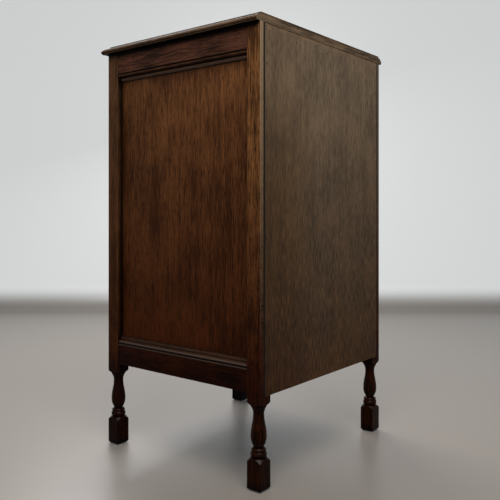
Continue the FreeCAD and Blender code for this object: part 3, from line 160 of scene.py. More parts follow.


# the painted shade near the floor fades out between these heights
print("stain gets paler from", SHADED_BELOW / MM, "to", UNSHADED_ABOVE / MM, "mm above the floor")

# %% [markdown]
# ## Wear and painted shade
# Edges that hands and dusters touch lose their stain, and corners and recesses get painted shade. Both can
# be found from the shape alone. The Bevel node rounds the shading near an edge, so where it differs from the
# true normal there is an edge to wear. The Ambient Occlusion node says how closed in a point is, so where it
# is low there is a corner for painted shade. No edge has to be marked by hand.

# %% Worn edges and painted shade in corners
EDGE_WIDTH = 1.8 * MM
FLAT, SHARP = 0.985, 0.8        # how well the two normals agree away from an edge and on it


def wear(tree, wood, colour, worn, amount):
    """The colour with its edges rubbed to another, in patches."""
    soft = add(tree, "ShaderNodeBevel", {"Radius": EDGE_WIDTH}, samples=4).outputs[0]
    true = add(tree, "ShaderNodeNewGeometry").outputs["True Normal"]
    turn = add(tree, "ShaderNodeVectorMath", {0: soft, 1: true}, operation="DOT_PRODUCT").outputs["Value"]
    edge = add(tree, "ShaderNodeMapRange", {"Value": turn, "From Min": FLAT, "From Max": SHARP,
                                            "To Max": amount}).outputs[0]
    patchy = add(tree, "ShaderNodeMapRange", {"Value": wood["ribbons"], "From Min": 0.38,
                                              "From Max": 0.6}).outputs[0]
    rubbed = add(tree, "ShaderNodeMath", {0: edge, 1: patchy}, operation="MULTIPLY").outputs[0]
    return add(tree, "ShaderNodeMix", {0: rubbed, 6: colour, 7: linear(worn)}, data_type="RGBA").outputs[2]


def painted_corner_shade(tree, colour, reach, open_at, closed_at, dark):
    """The colour darkened where a point is closed in: painted shade in corners and recesses."""
    closed = add(tree, "ShaderNodeAmbientOcclusion", {"Distance": reach}, samples=8).outputs["AO"]
    unshaded = add(tree, "ShaderNodeMapRange", {"Value": closed, "From Min": closed_at, "From Max": open_at,
                                             "To Min": dark, "To Max": 1.0}).outputs[0]
    return add(tree, "ShaderNodeVectorMath", {0: colour, "Scale": unshaded}, operation="SCALE").outputs[0]


print("edges are rubbed within", EDGE_WIDTH / MM, "mm")

# %% [markdown]
# ## Polish
# The finish is an old oil polish, rubbed thin: a soft sheen between the pores, and dull in them. Its index is
# that of any varnish, but worn and open-pored it mirrors much less than a new coat would, so the specular
# level is low. The pores and fibres are real hollows, and a small bump lets the sheen break up over them.
# A turned leg was burnished on the lathe as it spun, so there the sheen is tighter.

# %% Polished oak, put together
OAK_STRETCH = 0.055         # long fibres
RAYS = 0.35
GLOSS_SPREAD = 0.06         # how far the clouds take the roughness up and down
LEG_SHINE = 150 * MM, 180 * MM


def polished_oak(name, grain, deep, warm, roughness=0.46, sheen=0.05, change=None, pores=0.5, low="#DDCCBB",
                 worn="#6E5034", rubbed=0.35, corner=(20 * MM, 0.95, 0.5, 0.25), burnish=1.0):
    """A finish of stained and polished oak. change may alter the worn colour before corner shade is painted.
    """
    material = bpy.data.materials.new(name)
    material.use_nodes = True
    tree = material.node_tree
    wood = patterns(tree, grain, OAK_STRETCH)
    colour = stain_and_shade(tree, wood, deep, warm, pores, RAYS, low)
    colour = wear(tree, wood, colour, worn, rubbed)
    colour = change(tree, wood, colour) if change else colour
    # painted shade in corners and recesses, from Ambient Occlusion
    colour = painted_corner_shade(tree, colour, *corner)
    gloss = add(tree, "ShaderNodeMapRange", {"Value": wood["clouds"], "From Min": 0.3, "From Max": 0.7,
                                             "To Min": roughness - GLOSS_SPREAD,
                                             "To Max": roughness + GLOSS_SPREAD}).outputs[0]
    pore = add(tree, "ShaderNodeMapRange", {"Value": wood["dashes"], "From Min": PORE_FROM,
                                            "From Max": PORE_TO}).outputs[0]
    dull = add(tree, "ShaderNodeMath", {0: pore, 1: 0.15, 2: gloss}, operation="MULTIPLY_ADD").outputs[0]
    if burnish < 1:
        legs = add(tree, "ShaderNodeMapRange", {"Value": wood["z"], "From Min": LEG_SHINE[0],
                                                "From Max": LEG_SHINE[1], "To Min": burnish}).outputs[0]
        dull = add(tree, "ShaderNodeMath", {0: dull, 1: legs}, operation="MULTIPLY").outputs[0]
    height = add(tree, "ShaderNodeMath", {0: pore, 1: -0.7, 2: wood["streaks"]},
                 operation="MULTIPLY_ADD").outputs[0]
    bump = add(tree, "ShaderNodeBump", {"Height": height, "Strength": 0.4, "Distance": 0.3 * MM}).outputs[0]
    shader = tree.nodes["Principled BSDF"]
    shader.inputs["IOR"].default_value = 1.5
    shader.inputs["Specular IOR Level"].default_value = sheen
    tree.links.new(colour, shader.inputs["Base Color"])
    tree.links.new(dull, shader.inputs["Roughness"])
    tree.links.new(bump, shader.inputs["Normal"])
    return material


print("oak streaks are about", round(STREAK_WIDTH / OAK_STRETCH / MM), "mm long")

# %% [markdown]
# ## Which pieces get which finish
# Each solid came in with the name of its stuff in its material slot, such as oak_rail or brass. That name is
# noted before any finish replaces it, so a finish can be put on all pieces of one stuff. Grain follows the
# longer side of a piece, as a joiner would cut it, and the piece's own box tells which side that is.

# %% Sort the pieces
SIDE, FRONT = "y", "x"
slot_of = {piece: item.material_slots[0].material.name for piece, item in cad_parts.items()}


def made_of(slot):
    """The pieces of one stuff."""
    return [piece for piece, name in slot_of.items() if name == slot]


def runs_along(piece):
    """The level direction, x or y, in which a piece is longer."""
    low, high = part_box(piece)
    return FRONT if high.x - low.x > high.y - low.y else SIDE


def dress(finish, pieces):
    """Put one finish on each of the pieces."""
    for piece in pieces:
        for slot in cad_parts[piece].material_slots:
            slot.material = finish
    print(finish.name, "on", len(pieces), "pieces")


print("slots:", sorted(set(slot_of.values())))

# %% [markdown]
# ## Lines along the mouldings
# A moulding has a groove along the rail and a thin edge on the panel. Their shadows are painted on as black
# lines, and the ridges between get painted highlights, some pale and some dusty grey. Lines this fine are
# drawn by a material, which compares the height of a point with the height of each line. Only the outside
# gets these lines: how far a point is from the middle of the cabinet tells that.

# %% Painted shadow in grooves and painted highlights on ridges
# painted shadow for grooves and edges, and two painted highlight colours for ridges
LINE_SHADOW = "#140903"
PALE_HIGHLIGHT = "#7A6050"
DUSTY_HIGHLIGHT = "#3E322B"


def lined(lines, across, middle):
    """A change that draws level lines of painted shadow and highlight outside, each with its height, half its
    width and its colour.
    """
    def change(tree, wood, colour):
        depth = add(tree, "ShaderNodeMath", {0: wood[across]}, operation="ABSOLUTE").outputs[0]
        outside = add(tree, "ShaderNodeMath", {0: depth, 1: middle}, operation="GREATER_THAN").outputs[0]
        for height, half, code in lines:
            line = add(tree, "ShaderNodeMath", {0: wood["z"], 1: height, 2: half},
                       operation="COMPARE").outputs[0]
            drawn = add(tree, "ShaderNodeMath", {0: line, 1: outside}, operation="MULTIPLY").outputs[0]
            colour = add(tree, "ShaderNodeMix", {0: drawn, 6: colour, 7: linear(code)},
                         data_type="RGBA").outputs[2]
        return colour
    return change


# the colours of the painted shadow, the pale highlight and the dusty highlight
print("wax, rubbed and dusty lines:", LINE_SHADOW, PALE_HIGHLIGHT, DUSTY_HIGHLIGHT)

# %% [markdown]
# ## Painted light on rails, dust and painted shade on ledges
# Just under the top's overhang the top rails are painted lighter: painted light that shortens the top's
# shadow on them. On a moulding a little dust lies on what faces up, and painted shade darkens what faces
# down, which is what lets the eye read the rounds of so small a moulding. The first is a change with height,
# the second one with the normal's z.

# %% Changes for rails and mouldings
UNDER_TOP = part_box("top_board")[0].z
# painted light on the top rails, between these distances below the top board
PAINTED_LIGHT_FROM, PAINTED_LIGHT_TO = 45 * MM, 8 * MM        # below the top board
PAINTED_LIGHT_GAIN = 1.5                                    # how much lighter
DUST = "#4C4135"


def painted_light_under_top(draw):
    """A change that paints light on a rail just under the top, and then draws the lines."""
    def change(tree, wood, colour):
        pale = add(tree, "ShaderNodeMapRange", {"Value": wood["z"], "From Min": UNDER_TOP - PAINTED_LIGHT_FROM,
                                                "From Max": UNDER_TOP - PAINTED_LIGHT_TO,
                                                "To Min": 1.0, "To Max": PAINTED_LIGHT_GAIN}).outputs[0]
        painted_lighter = add(tree, "ShaderNodeVectorMath", {0: colour, "Scale": pale}, operation="SCALE").outputs[0]
        return draw(tree, wood, painted_lighter)
    return change


def ledges(draw):
    """A change that adds painted shade below a round and dust on top of it, and then draws the lines."""
    def change(tree, wood, colour):
        normal = add(tree, "ShaderNodeNewGeometry").outputs["Normal"]
        facing = add(tree, "ShaderNodeSeparateXYZ", {0: normal}).outputs[2]
        # painted shade on what faces down
        shade = add(tree, "ShaderNodeMapRange", {"Value": facing, "From Min": -0.95, "From Max": -0.45,
                                                 "To Min": 0.1, "To Max": 1.0}).outputs[0]
        shaded = add(tree, "ShaderNodeVectorMath", {0: colour, "Scale": shade}, operation="SCALE").outputs[0]
        dust = add(tree, "ShaderNodeMapRange", {"Value": facing, "From Min": 0.35, "From Max": 0.8,
                                                "To Max": 0.08}).outputs[0]
        dusty = add(tree, "ShaderNodeMix", {0: dust, 6: shaded, 7: linear(DUST)}, data_type="RGBA").outputs[2]
        return draw(tree, wood, dusty)
    return change


print("rails are lighter from", round((UNDER_TOP - PAINTED_LIGHT_FROM) / MM), "mm up")

# %% [markdown]
# ## Panels, rails and mouldings
# The panels have their grain upright and came out a warm mid brown. Rails and mouldings are darker, with
# their grain along the rail, so the side ones and the front ones need the same finish in two directions.
# The heights of the lines are taken from the pieces themselves, so they stay on the mouldings.

# %% Finish the panels, rails and mouldings
for grain, across, frame_of in ((SIDE, "x", "left"), (FRONT, "y", "door")):
    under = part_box(frame_of + "_top_rail")[0].z
    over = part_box(frame_of + "_bottom_rail")[1].z
    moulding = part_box(frame_of + "_top_moulding")
    strip = moulding[1].z - moulding[0].z
    # black lines are painted shadow in the grooves and at the panel's edge; pale lines are painted highlights
    lines = [
        (under - 1.5 * MM, 1.6 * MM, LINE_SHADOW),          # the groove along the upper rail
        (under - 13.6 * MM, 2.3 * MM, PALE_HIGHLIGHT),      # the ridge below it
        (under - strip, 0.9 * MM, LINE_SHADOW),             # the edge on the panel
        (over + 5.6 * MM, 1.2 * MM, DUSTY_HIGHLIGHT),         # the ridge above the lower groove
        (over + 2.3 * MM, 2.0 * MM, LINE_SHADOW),           # the groove along the lower rail
        (over - 1.2 * MM, 1.1 * MM, DUSTY_HIGHLIGHT),         # that rail's own edge
    ]
    low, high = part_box(frame_of + "_panel")
    painted_lines = lined(lines, across, abs(getattr(low, across) + getattr(high, across)) / 2)
    # warm and even, with upright dashes: the large calm face
    panel_oak = polished_oak("oak_panel_stained_" + frame_of, "z", "#391F0D", "#643F23", sheen=0.06,
                             change=painted_lines, pores=0.6, low="#AC7B4E", rubbed=0.15,
                             corner=(12 * MM, 0.95, 0.5, 0.25))
    # darker and redder, and nearly black with painted shade under the top
    rail_oak = polished_oak("oak_rail_stained_" + frame_of, grain, "#1F120C", "#4B2D20", sheen=0.045,
                            change=painted_light_under_top(painted_lines), low="#9C6934", corner=(22 * MM, 0.81, 0.73, 0.04))
    # handled most, so shinier: painted highlight and shadow lines frame the panel
    strip_oak = polished_oak("oak_moulding_stained_" + frame_of, grain, "#3A2114", "#6B452C", roughness=0.4,
                             sheen=0.09, change=ledges(painted_lines), low="#5E544E",
                             corner=(5 * MM, 0.7, 0.42, 0.03))
    for finish, slot in ((panel_oak, "oak_panel"), (rail_oak, "oak_rail"), (strip_oak, "oak_moulding")):
        dress(finish, [piece for piece in made_of(slot) if runs_along(piece) == grain])

# %% [markdown]
# ## Dark legs and raw backs
# Each post is one square bar, turned into a leg below. The turned part is given a darker colour, nearly
# black. At the back the posts were left raw where they meet the wall: a pale strip, grey with dust, which
# fades downwards and is darker towards negative x with painted shade. These changes depend only on height,
# on which face is looked at and on the side, so no face has to be picked out in the mesh.

# %% Changes for the posts
LEG_DARKENING = 160 * MM, 250 * MM          # the legs' darker colour fades out between these heights
BACK_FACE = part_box("back_right_post")[1].y


def dark_legs(deep, warm):
    """A change that gives the turned part a darker colour, between two browns."""
    def change(tree, wood, colour):
        above = add(tree, "ShaderNodeMapRange", {"Value": wood["z"], "From Min": LEG_DARKENING[0],
                                                 "From Max": LEG_DARKENING[1]},
                    interpolation_type="SMOOTHSTEP").outputs[0]
        fibre = add(tree, "ShaderNodeMapRange", {"Value": wood["streaks"], "From Min": 0.42,
                                                 "From Max": 0.72}).outputs[0]
        dark = add(tree, "ShaderNodeMix", {0: fibre, 6: linear(deep), 7: linear(warm)},
                   data_type="RGBA").outputs[2]
        return add(tree, "ShaderNodeMix", {0: above, 6: dark, 7: colour}, data_type="RGBA").outputs[2]
    return change


def at_wall(tree, wood):
    """1 on the faces that stand against a wall, and 0 elsewhere."""
    return add(tree, "ShaderNodeMapRange", {"Value": wood["y"], "From Min": BACK_FACE - 0.85 * MM,
                                            "From Max": BACK_FACE - 0.35 * MM}).outputs[0]


def raw_back(tree, wood, colour):
    """Leave the back face raw, with painted shade darkening it towards negative x, and with dark legs."""
    stained = dark_legs("#0F0501", "#341305")(tree, wood, colour)
    ragged = add(tree, "ShaderNodeMath", {0: wood["ribbons"], 1: 0.5, 2: wood["z"]},
                 operation="MULTIPLY_ADD").outputs[0]
    high = add(tree, "ShaderNodeMapRange", {"Value": ragged, "From Min": 0.55, "From Max": 1.1}).outputs[0]
    bare = add(tree, "ShaderNodeMath", {0: high, 1: at_wall(tree, wood)}, operation="MULTIPLY").outputs[0]
    # painted shade: the raw face is darker towards negative x
    side = add(tree, "ShaderNodeMapRange", {"Value": wood["x"], "From Min": -0.2, "From Max": 0.2}).outputs[0]
    raw = add(tree, "ShaderNodeMix", {0: side, 6: linear("#4E4235"), 7: linear("#6F5C46")},
              data_type="RGBA").outputs[2]
    return add(tree, "ShaderNodeMix", {0: bare, 6: stained, 7: raw}, data_type="RGBA").outputs[2]


print("legs are dark below", LEG_DARKENING[0] / MM, "mm, raw faces lie at y", round(BACK_FACE, 4))

# %% [markdown]
# ## Posts
# The front posts and the door's stiles share one finish, dark and even. The back posts are browner, with open
# pores, because they were cut from plainer wood. Painted shade reaches far into the corners between post
# and rail.

# %% Finish the posts
# painted shade in the corners between post and rail: reach, open, closed and darkest
POST_CORNER = (34 * MM, 0.85, 0.64, 0.06)
LEG_BURNISH = 0.5

# dark and quiet: uprights that frame the front
front_oak = polished_oak("oak_front_post_stained", "z", "#321E0F", "#583B25", low="#D8B088",
                         change=dark_legs("#0D0301", "#280C04"), corner=POST_CORNER, burnish=LEG_BURNISH)
# orange-brown with strong dashes high up, red-brown with painted shade lower down
back_oak = polished_oak("oak_back_post_stained", "z", "#341E0E", "#754D2B", low="#7B4028", pores=0.7,
                        rubbed=0.3, change=raw_back, corner=POST_CORNER, burnish=LEG_BURNISH)
dress(front_oak, [piece for piece in made_of("oak_post") if not piece.startswith("back")])
dress(back_oak, [piece for piece in made_of("oak_post") if piece.startswith("back")])

# %% [markdown]
# ## The top
# The top board overhangs at the front and sides with a moulded edge, worn grey where things were set down and
# slid off. Its back edge was sawn flush and left raw, apart from a dark line where the stain ran over.

# %% Finish the top
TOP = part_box("top_board")[1].z


def raw_edge(tree, wood, colour):
    """Leave the back edge raw below the line where the stain ran over."""
    ragged = add(tree, "ShaderNodeMath", {0: wood["ribbons"], 1: 6 * MM, 2: wood["z"]},
                 operation="MULTIPLY_ADD").outputs[0]
    below = add(tree, "ShaderNodeMapRange", {"Value": ragged, "From Min": TOP + 0.5 * MM,
                                             "From Max": TOP - 1 * MM}).outputs[0]
    bare = add(tree, "ShaderNodeMath", {0: below, 1: at_wall(tree, wood)}, operation="MULTIPLY").outputs[0]
    fibre = add(tree, "ShaderNodeMapRange", {"Value": wood["streaks"], "From Min": 0.35,
                                             "From Max": 0.65}).outputs[0]
    raw = add(tree, "ShaderNodeMix", {0: fibre, 6: linear("#352B22"), 7: linear("#65533F")},
              data_type="RGBA").outputs[2]
    return add(tree, "ShaderNodeMix", {0: bare, 6: colour, 7: raw}, data_type="RGBA").outputs[2]


# greyer and duller than the sides, with pale worn edges
top_oak = polished_oak("oak_top_stained", "x", "#2A1D13", "#4C3827", roughness=0.62, change=raw_edge,
                       worn="#574C41", rubbed=0.6, corner=(22 * MM, 0.85, 0.62, 0.08))
dress(top_oak, made_of("oak_top"))

# %% [markdown]
# ## Unpolished wood
# The back is a sheet of thin plywood that was never polished, so it has gone grey-brown and quite matt,
# streaked along its grain and dusty. The boards inside are plain softwood and thin plywood, paler because
# they saw little light. All are the same recipe: streaks and clouds, pale specks where there are any, painted
# shade in corners. Bare wood still mirrors a little at its fibres, so the specular level is low but not
# nought.

# %% Unpolished wood, put together
BARE_STRETCH = 0.09         # shorter fibres than in the oak
BARE_PORES = 0.35
BARE_SPREAD = 0.07          # how far the clouds take the roughness up and down
# painted shade in corners: reach, open, closed and darkest
BARE_CORNER = (14 * MM, 0.95, 0.4, 0.35)
SPECK_WIDTH = 7 * MM        # the cells of the noise; only the peak of one becomes a speck


def bare_wood(name, grain, deep, warm, roughness, specks=0.0, low="#FFFFFF", change=None):
    """A finish of unpolished wood."""
    material = bpy.data.materials.new(name)
    material.use_nodes = True
    tree = material.node_tree
    wood = patterns(tree, grain, BARE_STRETCH)
    colour = stain_and_shade(tree, wood, deep, warm, BARE_PORES, 0.0, low)
    spot = add(tree, "ShaderNodeTexNoise", {"Vector": wood["log"], "Scale": 1 / SPECK_WIDTH,
                                            "Detail": 0.0}).outputs["Fac"]
    speck = add(tree, "ShaderNodeMapRange", {"Value": spot, "From Min": 0.84, "From Max": 0.9,
                                             "To Max": specks}).outputs[0]
    colour = add(tree, "ShaderNodeMix", {0: speck, 6: colour, 7: linear("#A39783")},
                 data_type="RGBA").outputs[2]
    colour = change(tree, wood, colour) if change else colour
    # painted shade in corners and recesses
    colour = painted_corner_shade(tree, colour, *BARE_CORNER)
    rough = add(tree, "ShaderNodeMapRange", {"Value": wood["clouds"], "From Min": 0.3, "From Max": 0.7,
                                             "To Min": roughness - BARE_SPREAD,
                                             "To Max": roughness + BARE_SPREAD}).outputs[0]
    height = add(tree, "ShaderNodeMath", {0: wood["dashes"], 1: -0.5, 2: wood["streaks"]},
                 operation="MULTIPLY_ADD").outputs[0]
    bump = add(tree, "ShaderNodeBump", {"Height": height, "Strength": 0.5, "Distance": 0.3 * MM}).outputs[0]
    shader = tree.nodes["Principled BSDF"]
    shader.inputs["IOR"].default_value = 1.5
    shader.inputs["Specular IOR Level"].default_value = 0.15
    tree.links.new(colour, shader.inputs["Base Color"])
    tree.links.new(rough, shader.inputs["Roughness"])
    tree.links.new(bump, shader.inputs["Normal"])
    return material


print("bare streaks are about", round(STREAK_WIDTH / BARE_STRETCH / MM), "mm long")

# %% [markdown]
# ## The back board
# The board stood against a wall for years. Painted shade darkens it along its two edges, more on one side,
# and over that side, most low down. Low down the grain has risen and shows more. Under the top a ragged band
# is rubbed bare, with a dark joint above it. Each of these is one smooth step in height or across the board.

# %% Finish the back board
BOARD_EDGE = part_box("back_board")[1].x


def edge_shade_and_joint(tree, wood):
    """What painted shade at the edges, left and right from behind, and a dark joint above leave of the
    colour.
    """
    # painted shade in the gaps at the board's two edges
    left = add(tree, "ShaderNodeMapRange", {"Value": wood["x"], "From Min": BOARD_EDGE - 6.5 * MM,
                                            "From Max": BOARD_EDGE - 4.1 * MM,
                                            "To Min": 1.0, "To Max": 0.06}).outputs[0]
    right = add(tree, "ShaderNodeMapRange", {"Value": wood["x"], "From Min": 3.3 * MM - BOARD_EDGE,
                                             "From Max": 0.8 * MM - BOARD_EDGE,
                                             "To Min": 1.0, "To Max": 0.75}).outputs[0]
    joint = add(tree, "ShaderNodeMapRange", {"Value": wood["z"], "From Min": UNDER_TOP - 2.2 * MM,
                                             "From Max": UNDER_TOP - 1 * MM,
                                             "To Min": 1.0, "To Max": 0.6}).outputs[0]
    sides = add(tree, "ShaderNodeMath", {0: left, 1: right}, operation="MINIMUM").outputs[0]
    return add(tree, "ShaderNodeMath", {0: sides, 1: joint}, operation="MINIMUM").outputs[0]


def aged_and_shaded(tree, wood, colour):
    """The board's colour with painted shade on one side, raised grain low down, a rubbed band and painted
    shade at the edges.
    """
    # painted shade: the side towards positive x is darker, most low down
    high = add(tree, "ShaderNodeMapRange", {"Value": wood["z"], "From Min": 0.6, "From Max": 0.88}).outputs[0]
    shaded_side = add(tree, "ShaderNodeMix", {0: high, 6: linear("#D4C4AC"), 7: linear("#E2DEDA")},
               data_type="RGBA").outputs[2]
    aside = add(tree, "ShaderNodeMapRange", {"Value": wood["x"], "From Min": 0.0, "From Max": 0.19},
                interpolation_type="SMOOTHSTEP").outputs[0]
    tint = add(tree, "ShaderNodeMix", {0: aside, 6: linear("#FFFFFF"), 7: shaded_side}, data_type="RGBA").outputs[2]
    colour = add(tree, "ShaderNodeVectorMath", {0: colour, 1: tint}, operation="MULTIPLY").outputs[0]
    fibre = add(tree, "ShaderNodeMapRange", {"Value": wood["streaks"], "From Min": 0.4, "From Max": 0.62,
                                             "To Min": 0.74, "To Max": 1.3}).outputs[0]
    even = add(tree, "ShaderNodeMapRange", {"Value": wood["z"], "From Min": 0.3, "From Max": 0.7}).outputs[0]
    raised = add(tree, "ShaderNodeMix", {0: even, 2: fibre, 3: 1.0}).outputs[0]
    colour = add(tree, "ShaderNodeVectorMath", {0: colour, "Scale": raised}, operation="SCALE").outputs[0]
    ragged = add(tree, "ShaderNodeMath", {0: wood["ribbons"], 1: 40 * MM, 2: wood["z"]},
                 operation="MULTIPLY_ADD").outputs[0]
    band = add(tree, "ShaderNodeMapRange", {"Value": ragged, "From Min": UNDER_TOP + 12 * MM,
                                            "From Max": UNDER_TOP + 22 * MM, "To Max": 0.55}).outputs[0]
    rubbed = add(tree, "ShaderNodeMix", {0: band, 6: colour, 7: linear("#775B40")},
                 data_type="RGBA").outputs[2]
    return add(tree, "ShaderNodeVectorMath", {0: rubbed, "Scale": edge_shade_and_joint(tree, wood)},
               operation="SCALE").outputs[0]


# grey-brown and matt, the one cold surface of the cabinet
back_ply = bare_wood("plywood_aged_shaded", "z", "#514436", "#725F4A", 0.8, specks=0.4, low="#BCA089", change=aged_and_shaded)
dress(back_ply, made_of("plywood_back"))

# %% [markdown]
# ## Boards inside
# The dividers are three-layer plywood, and on an edge the middle layer shows as a dark line, since there the
# grain is cut across. Shelf, base and bearers are softwood with a thin stain. The line is found by comparing
# a point's distance from the middle of the cabinet with that of each divider.

# %% Finish the boards inside
def core_layer(tree, wood, colour):
    """The darker middle layer of the dividers, a third of their thickness, which shows on their edges."""
    side = add(tree, "ShaderNodeMath", {0: wood["x"]}, operation="ABSOLUTE").outputs[0]
    for divider in ("upper_divider_3", "upper_divider_4"):
        low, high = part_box(divider)
        core = add(tree, "ShaderNodeMath", {0: side, 1: abs(low.x + high.x) / 2, 2: (high.x - low.x) / 6},
                   operation="COMPARE").outputs[0]
        colour = add(tree, "ShaderNodeMix", {0: core, 6: colour, 7: linear("#4E351F")},
                     data_type="RGBA").outputs[2]
    return colour


# pale honey, so the slots stand out in the dark inside
birch_ply = bare_wood("plywood_birch", "z", "#6E4F2F", "#9A774D", 0.6, change=core_layer)
dress(birch_ply, made_of("plywood_divider"))
for grain in (SIDE, FRONT):
    # a plain mid brown that stays behind the dividers
    pine = bare_wood("pine_stained_" + grain, grain, "#442C19", "#765335", 0.62)
    dress(pine, [piece for piece in made_of("inner_wood") if runs_along(piece) == grain])

# %% [markdown]
# ## Brass and steel
# Handle, hinges and escutcheon are brass that has gone brown in the hollows and keeps a shine where it is
# touched. The lock and its key are steel, and so are the pins round the back board, which have rusted brown.
# A metal's colour is its reflection, so these differ in that colour and in how much of a dull film covers
# them, which a noise and the hollows decide.

# %% Metals
FILM_WIDTH = 9 * MM         # the size of a patch of tarnish
HOLLOW_REACH = 4 * MM


def old_metal(name, bright, tarnished, roughness):
    """A metal with a dull film in the hollows."""
    material = bpy.data.materials.new(name)
    material.use_nodes = True
    tree = material.node_tree
    place = add(tree, "ShaderNodeTexCoord").outputs["Object"]
    cloud = add(tree, "ShaderNodeTexNoise", {"Vector": place, "Scale": 1 / FILM_WIDTH, "Detail": 5.0,
                                             "Roughness": 0.65}).outputs["Fac"]
    closed = add(tree, "ShaderNodeAmbientOcclusion", {"Distance": HOLLOW_REACH}, samples=8).outputs["AO"]
    hollow = add(tree, "ShaderNodeMapRange", {"Value": closed, "From Min": 0.95, "From Max": 0.4}).outputs[0]
    film = add(tree, "ShaderNodeMapRange", {"Value": cloud, "From Min": 0.42, "From Max": 0.66}).outputs[0]
    tarnish = add(tree, "ShaderNodeMath", {0: hollow, 1: film}, operation="MAXIMUM").outputs[0]
    colour = add(tree, "ShaderNodeMix", {0: tarnish, 6: linear(bright), 7: linear(tarnished)},
                 data_type="RGBA").outputs[2]
    rough = add(tree, "ShaderNodeMapRange", {"Value": tarnish, "To Min": roughness,
                                             "To Max": roughness + 0.25}).outputs[0]
    shader = tree.nodes["Principled BSDF"]
    shader.inputs["Metallic"].default_value = 1.0
    tree.links.new(colour, shader.inputs["Base Color"])
    tree.links.new(rough, shader.inputs["Roughness"])
    return material


# a warm glint on the dark front, then a cool grey one, then brown dots that hardly shine
dress(old_metal("brass_tarnished", "#B08D4C", "#6B4E26", 0.28), made_of("brass"))
dress(old_metal("steel_dulled", "#8E8B86", "#4A4036", 0.36), made_of("steel"))
dress(old_metal("steel_rusted", "#4A3C30", "#2E231A", 0.6), ["back_board_pins"])

# %% [markdown]
# ## Eased edges
# No edge on real joinery is perfectly sharp: a stroke of a plane or a sheet of sandpaper takes it off. A row
# of modifiers does the same. The mesh comes in as triangles split along its edges, so Weld joins them,
# Decimate makes whole faces of the triangles, Bevel rounds the edges, and Weighted Normal keeps faces flat.

# %% Ease the edges
def ease(pieces, radius):
    """Round the sharp edges of simple pieces."""
    for piece in pieces:
        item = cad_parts[piece]
        weld = item.modifiers.new("join_faces", "WELD")
        weld.merge_threshold = 0.002 * MM
        whole = item.modifiers.new("whole_faces", "DECIMATE")
        whole.decimate_type = "DISSOLVE"
        whole.angle_limit = math.radians(0.4)
        plane = item.modifiers.new("eased_edges", "BEVEL")
        plane.width = radius
        plane.segments = 3
        plane.limit_method = "ANGLE"
        plane.angle_limit = math.radians(40)
        flat = item.modifiers.new("flat_faces", "WEIGHTED_NORMAL")
        flat.keep_sharp = False
    print("eased", len(pieces), "pieces by", radius / MM, "mm")


ease([piece for piece in made_of("oak_rail") if "back" not in piece], 0.9 * MM)
ease(made_of("plywood_divider"), 0.5 * MM)
ease(["base_board", "shelf"], 0.9 * MM)

# %% [markdown]
# ## Camera
# The view is from behind and to one side, at about the height of the middle of the cabinet, level, with the
# lens shifted down so that upright edges stay upright. A level camera with a shift is how furniture is
# photographed, because a tilted one would make the sides lean.

# %% Camera
EYE = Vector((1.2672, 1.0295, 0.558))
AHEAD = Vector((-0.78025, -0.6255, 0)).normalized()
camera = bpy.data.objects.new("camera", bpy.data.cameras.new("camera"))
bpy.context.scene.collection.objects.link(camera)
camera.location = EYE
camera.rotation_euler = AHEAD.to_track_quat("-Z", "Y").to_euler()
camera.data.sensor_width = 36
camera.data.lens = 47.32
camera.data.shift_y = -0.0789
bpy.context.scene.camera = camera
print("camera", round(EYE.xy.length, 2), "m from the middle of the cabinet")

# %% [markdown]
# ## Floor and backdrop
# One sheet runs over the floor and up a wall, with a small curve between, so no hard line stands behind the
# cabinet. A long section is drawn from the camera onwards, and each of its points becomes a row across.

# %% Sweep
WALL = 3.75             # metres from the camera to the wall
COVE = 0.14             # radius of the curve at its foot
BEHIND = 4              # how far the floor runs on behind the camera
WALL_HEIGHT = 4
HALF_WIDTH = 7
COVE_STEPS = 9
ACROSS = Vector((-AHEAD.y, AHEAD.x, 0))
section = [(-BEHIND, 0), (WALL - COVE, 0)]
for step in range(1, COVE_STEPS + 1):
    angle = math.radians(90 * step / COVE_STEPS)
    section.append((WALL - COVE + COVE * math.sin(angle), COVE - COVE * math.cos(angle)))
section.append((WALL, WALL_HEIGHT))
sheet = bmesh.new()
rows = []
for distance, height in section:
    middle = Vector((EYE.x, EYE.y, height)) + AHEAD * distance
    rows.append([sheet.verts.new(middle + ACROSS * side) for side in (-HALF_WIDTH, HALF_WIDTH)])
for near, far in zip(rows, rows[1:]):
    sheet.faces.new((near[0], near[1], far[1], far[0]))
mesh = bpy.data.meshes.new("sweep")
sheet.to_mesh(mesh)
sheet.free()
mesh.shade_smooth()
sweep = bpy.data.objects.new("sweep", mesh)
bpy.context.scene.collection.objects.link(sweep)
print("sweep: wall", WALL, "m from the camera, in", len(section), "rows")

# %% [markdown]
# ## Paint for floor and wall
# To the camera, and in reflections, the sheet is pale, and the wall glows a little, like a wall that daylight
# falls on. To light that bounces it is darker and doesn't glow: a dark room round the cabinet keeps the shade
# under it deep. Light Path tells the two kinds of ray apart.

# %% Paint the sweep
FLOOR_TOP, WALL_FOOT = 10 * MM, 130 * MM        # the floor's colour turns into the wall's between these
FLOOR_GLOW, WALL_GLOW = 0.05, 0.56


def seen(tree):
    """1 for rays that show a thing to the eye, directly or mirrored, and 0 for light that bounces."""
    path = add(tree, "ShaderNodeLightPath").outputs
    direct = add(tree, "ShaderNodeMath", {0: path["Is Camera Ray"], 1: path["Is Glossy Ray"]},
                 operation="MAXIMUM").outputs[0]
    return add(tree, "ShaderNodeMath", {0: direct, 1: path["Is Transmission Ray"]},
               operation="MAXIMUM").outputs[0]


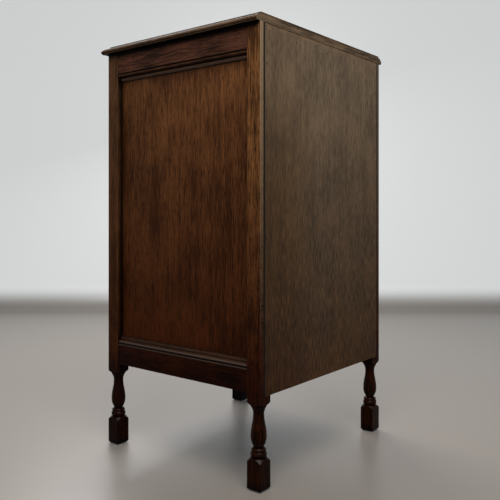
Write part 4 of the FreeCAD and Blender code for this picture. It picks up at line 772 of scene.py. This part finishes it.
# emulsion paint with a slight sheen: a calm pale ground that takes a soft shadow
paint = bpy.data.materials.new("sweep_paint")
paint.use_nodes = True
tree = paint.node_tree
place = add(tree, "ShaderNodeTexCoord").outputs["Object"]
height = add(tree, "ShaderNodeSeparateXYZ", {0: place}).outputs[2]
wall = add(tree, "ShaderNodeMapRange", {"Value": height, "From Min": FLOOR_TOP, "From Max": WALL_FOOT},
           interpolation_type="SMOOTHSTEP").outputs[0]
pale = add(tree, "ShaderNodeMix", {0: wall, 6: linear("#6A625A"), 7: linear("#8E8F8F")},
           data_type="RGBA").outputs[2]
visible = seen(tree)
tone = add(tree, "ShaderNodeMix", {0: visible, 6: linear("#4A4743"), 7: pale}, data_type="RGBA").outputs[2]
glow = add(tree, "ShaderNodeMapRange", {"Value": wall, "To Min": FLOOR_GLOW, "To Max": WALL_GLOW}).outputs[0]
strength = add(tree, "ShaderNodeMath", {0: glow, 1: visible}, operation="MULTIPLY").outputs[0]
shader = tree.nodes["Principled BSDF"]
tree.links.new(tone, shader.inputs["Base Color"])
tree.links.new(strength, shader.inputs["Emission Strength"])
shader.inputs["Emission Color"].default_value = linear("#F4F6F6")
shader.inputs["Roughness"].default_value = 0.33
mesh.materials.append(paint)
print(paint.name, "glows by", FLOOR_GLOW, "on the floor and", WALL_GLOW, "on the wall")

# %% [markdown]
# ## Light
# Two soft square lamps hang at opposite corners, above head height, one for the side and back and one for the
# front. Soft light from above leaves the top brightest and lets the faces fall off towards the floor, as
# in any room with ceiling lights. A little even light from the world fills the shade.

# %% Lamps
def lamp(name, place, target, size, watts):
    """A square area light that faces a target."""
    light = bpy.data.lights.new(name, "AREA")
    light.size = size
    light.energy = watts
    item = bpy.data.objects.new(name, light)
    bpy.context.scene.collection.objects.link(item)
    item.location = place
    item.rotation_euler = (Vector(target) - Vector(place)).to_track_quat("-Z", "Y").to_euler()
    item.visible_camera = False
    print(name, watts, "W")


lamp("lamp_back_corner", (0.8, 0.75, 1.9), (0.2, 0.2, 0.6), 1.2, 56)
lamp("lamp_front_corner", (-0.75, -1.1, 1.75), (-0.15, -0.2, 0.5), 1.2, 52)

# %% [markdown]
# ## World
# The world is the room beyond the sweep. As on the wall, it is brighter to the eye and in reflections than to
# bouncing light, so that metal has something pale to mirror. The Standard view shows colours as written.

# %% World and view
ROOM_FILL, ROOM_SEEN = 0.1, 0.5
room = bpy.data.worlds.new("room")
bpy.context.scene.world = room
room.use_nodes = True
sky = room.node_tree.nodes["Background"]
sky.inputs["Color"].default_value = linear("#F0F2F3")
level = add(room.node_tree, "ShaderNodeMapRange", {"Value": seen(room.node_tree), "To Min": ROOM_FILL,
                                                   "To Max": ROOM_SEEN}).outputs[0]
room.node_tree.links.new(level, sky.inputs["Strength"])
bpy.context.scene.view_settings.view_transform = "Standard"
print(room.name, "fills the shade with", ROOM_FILL)
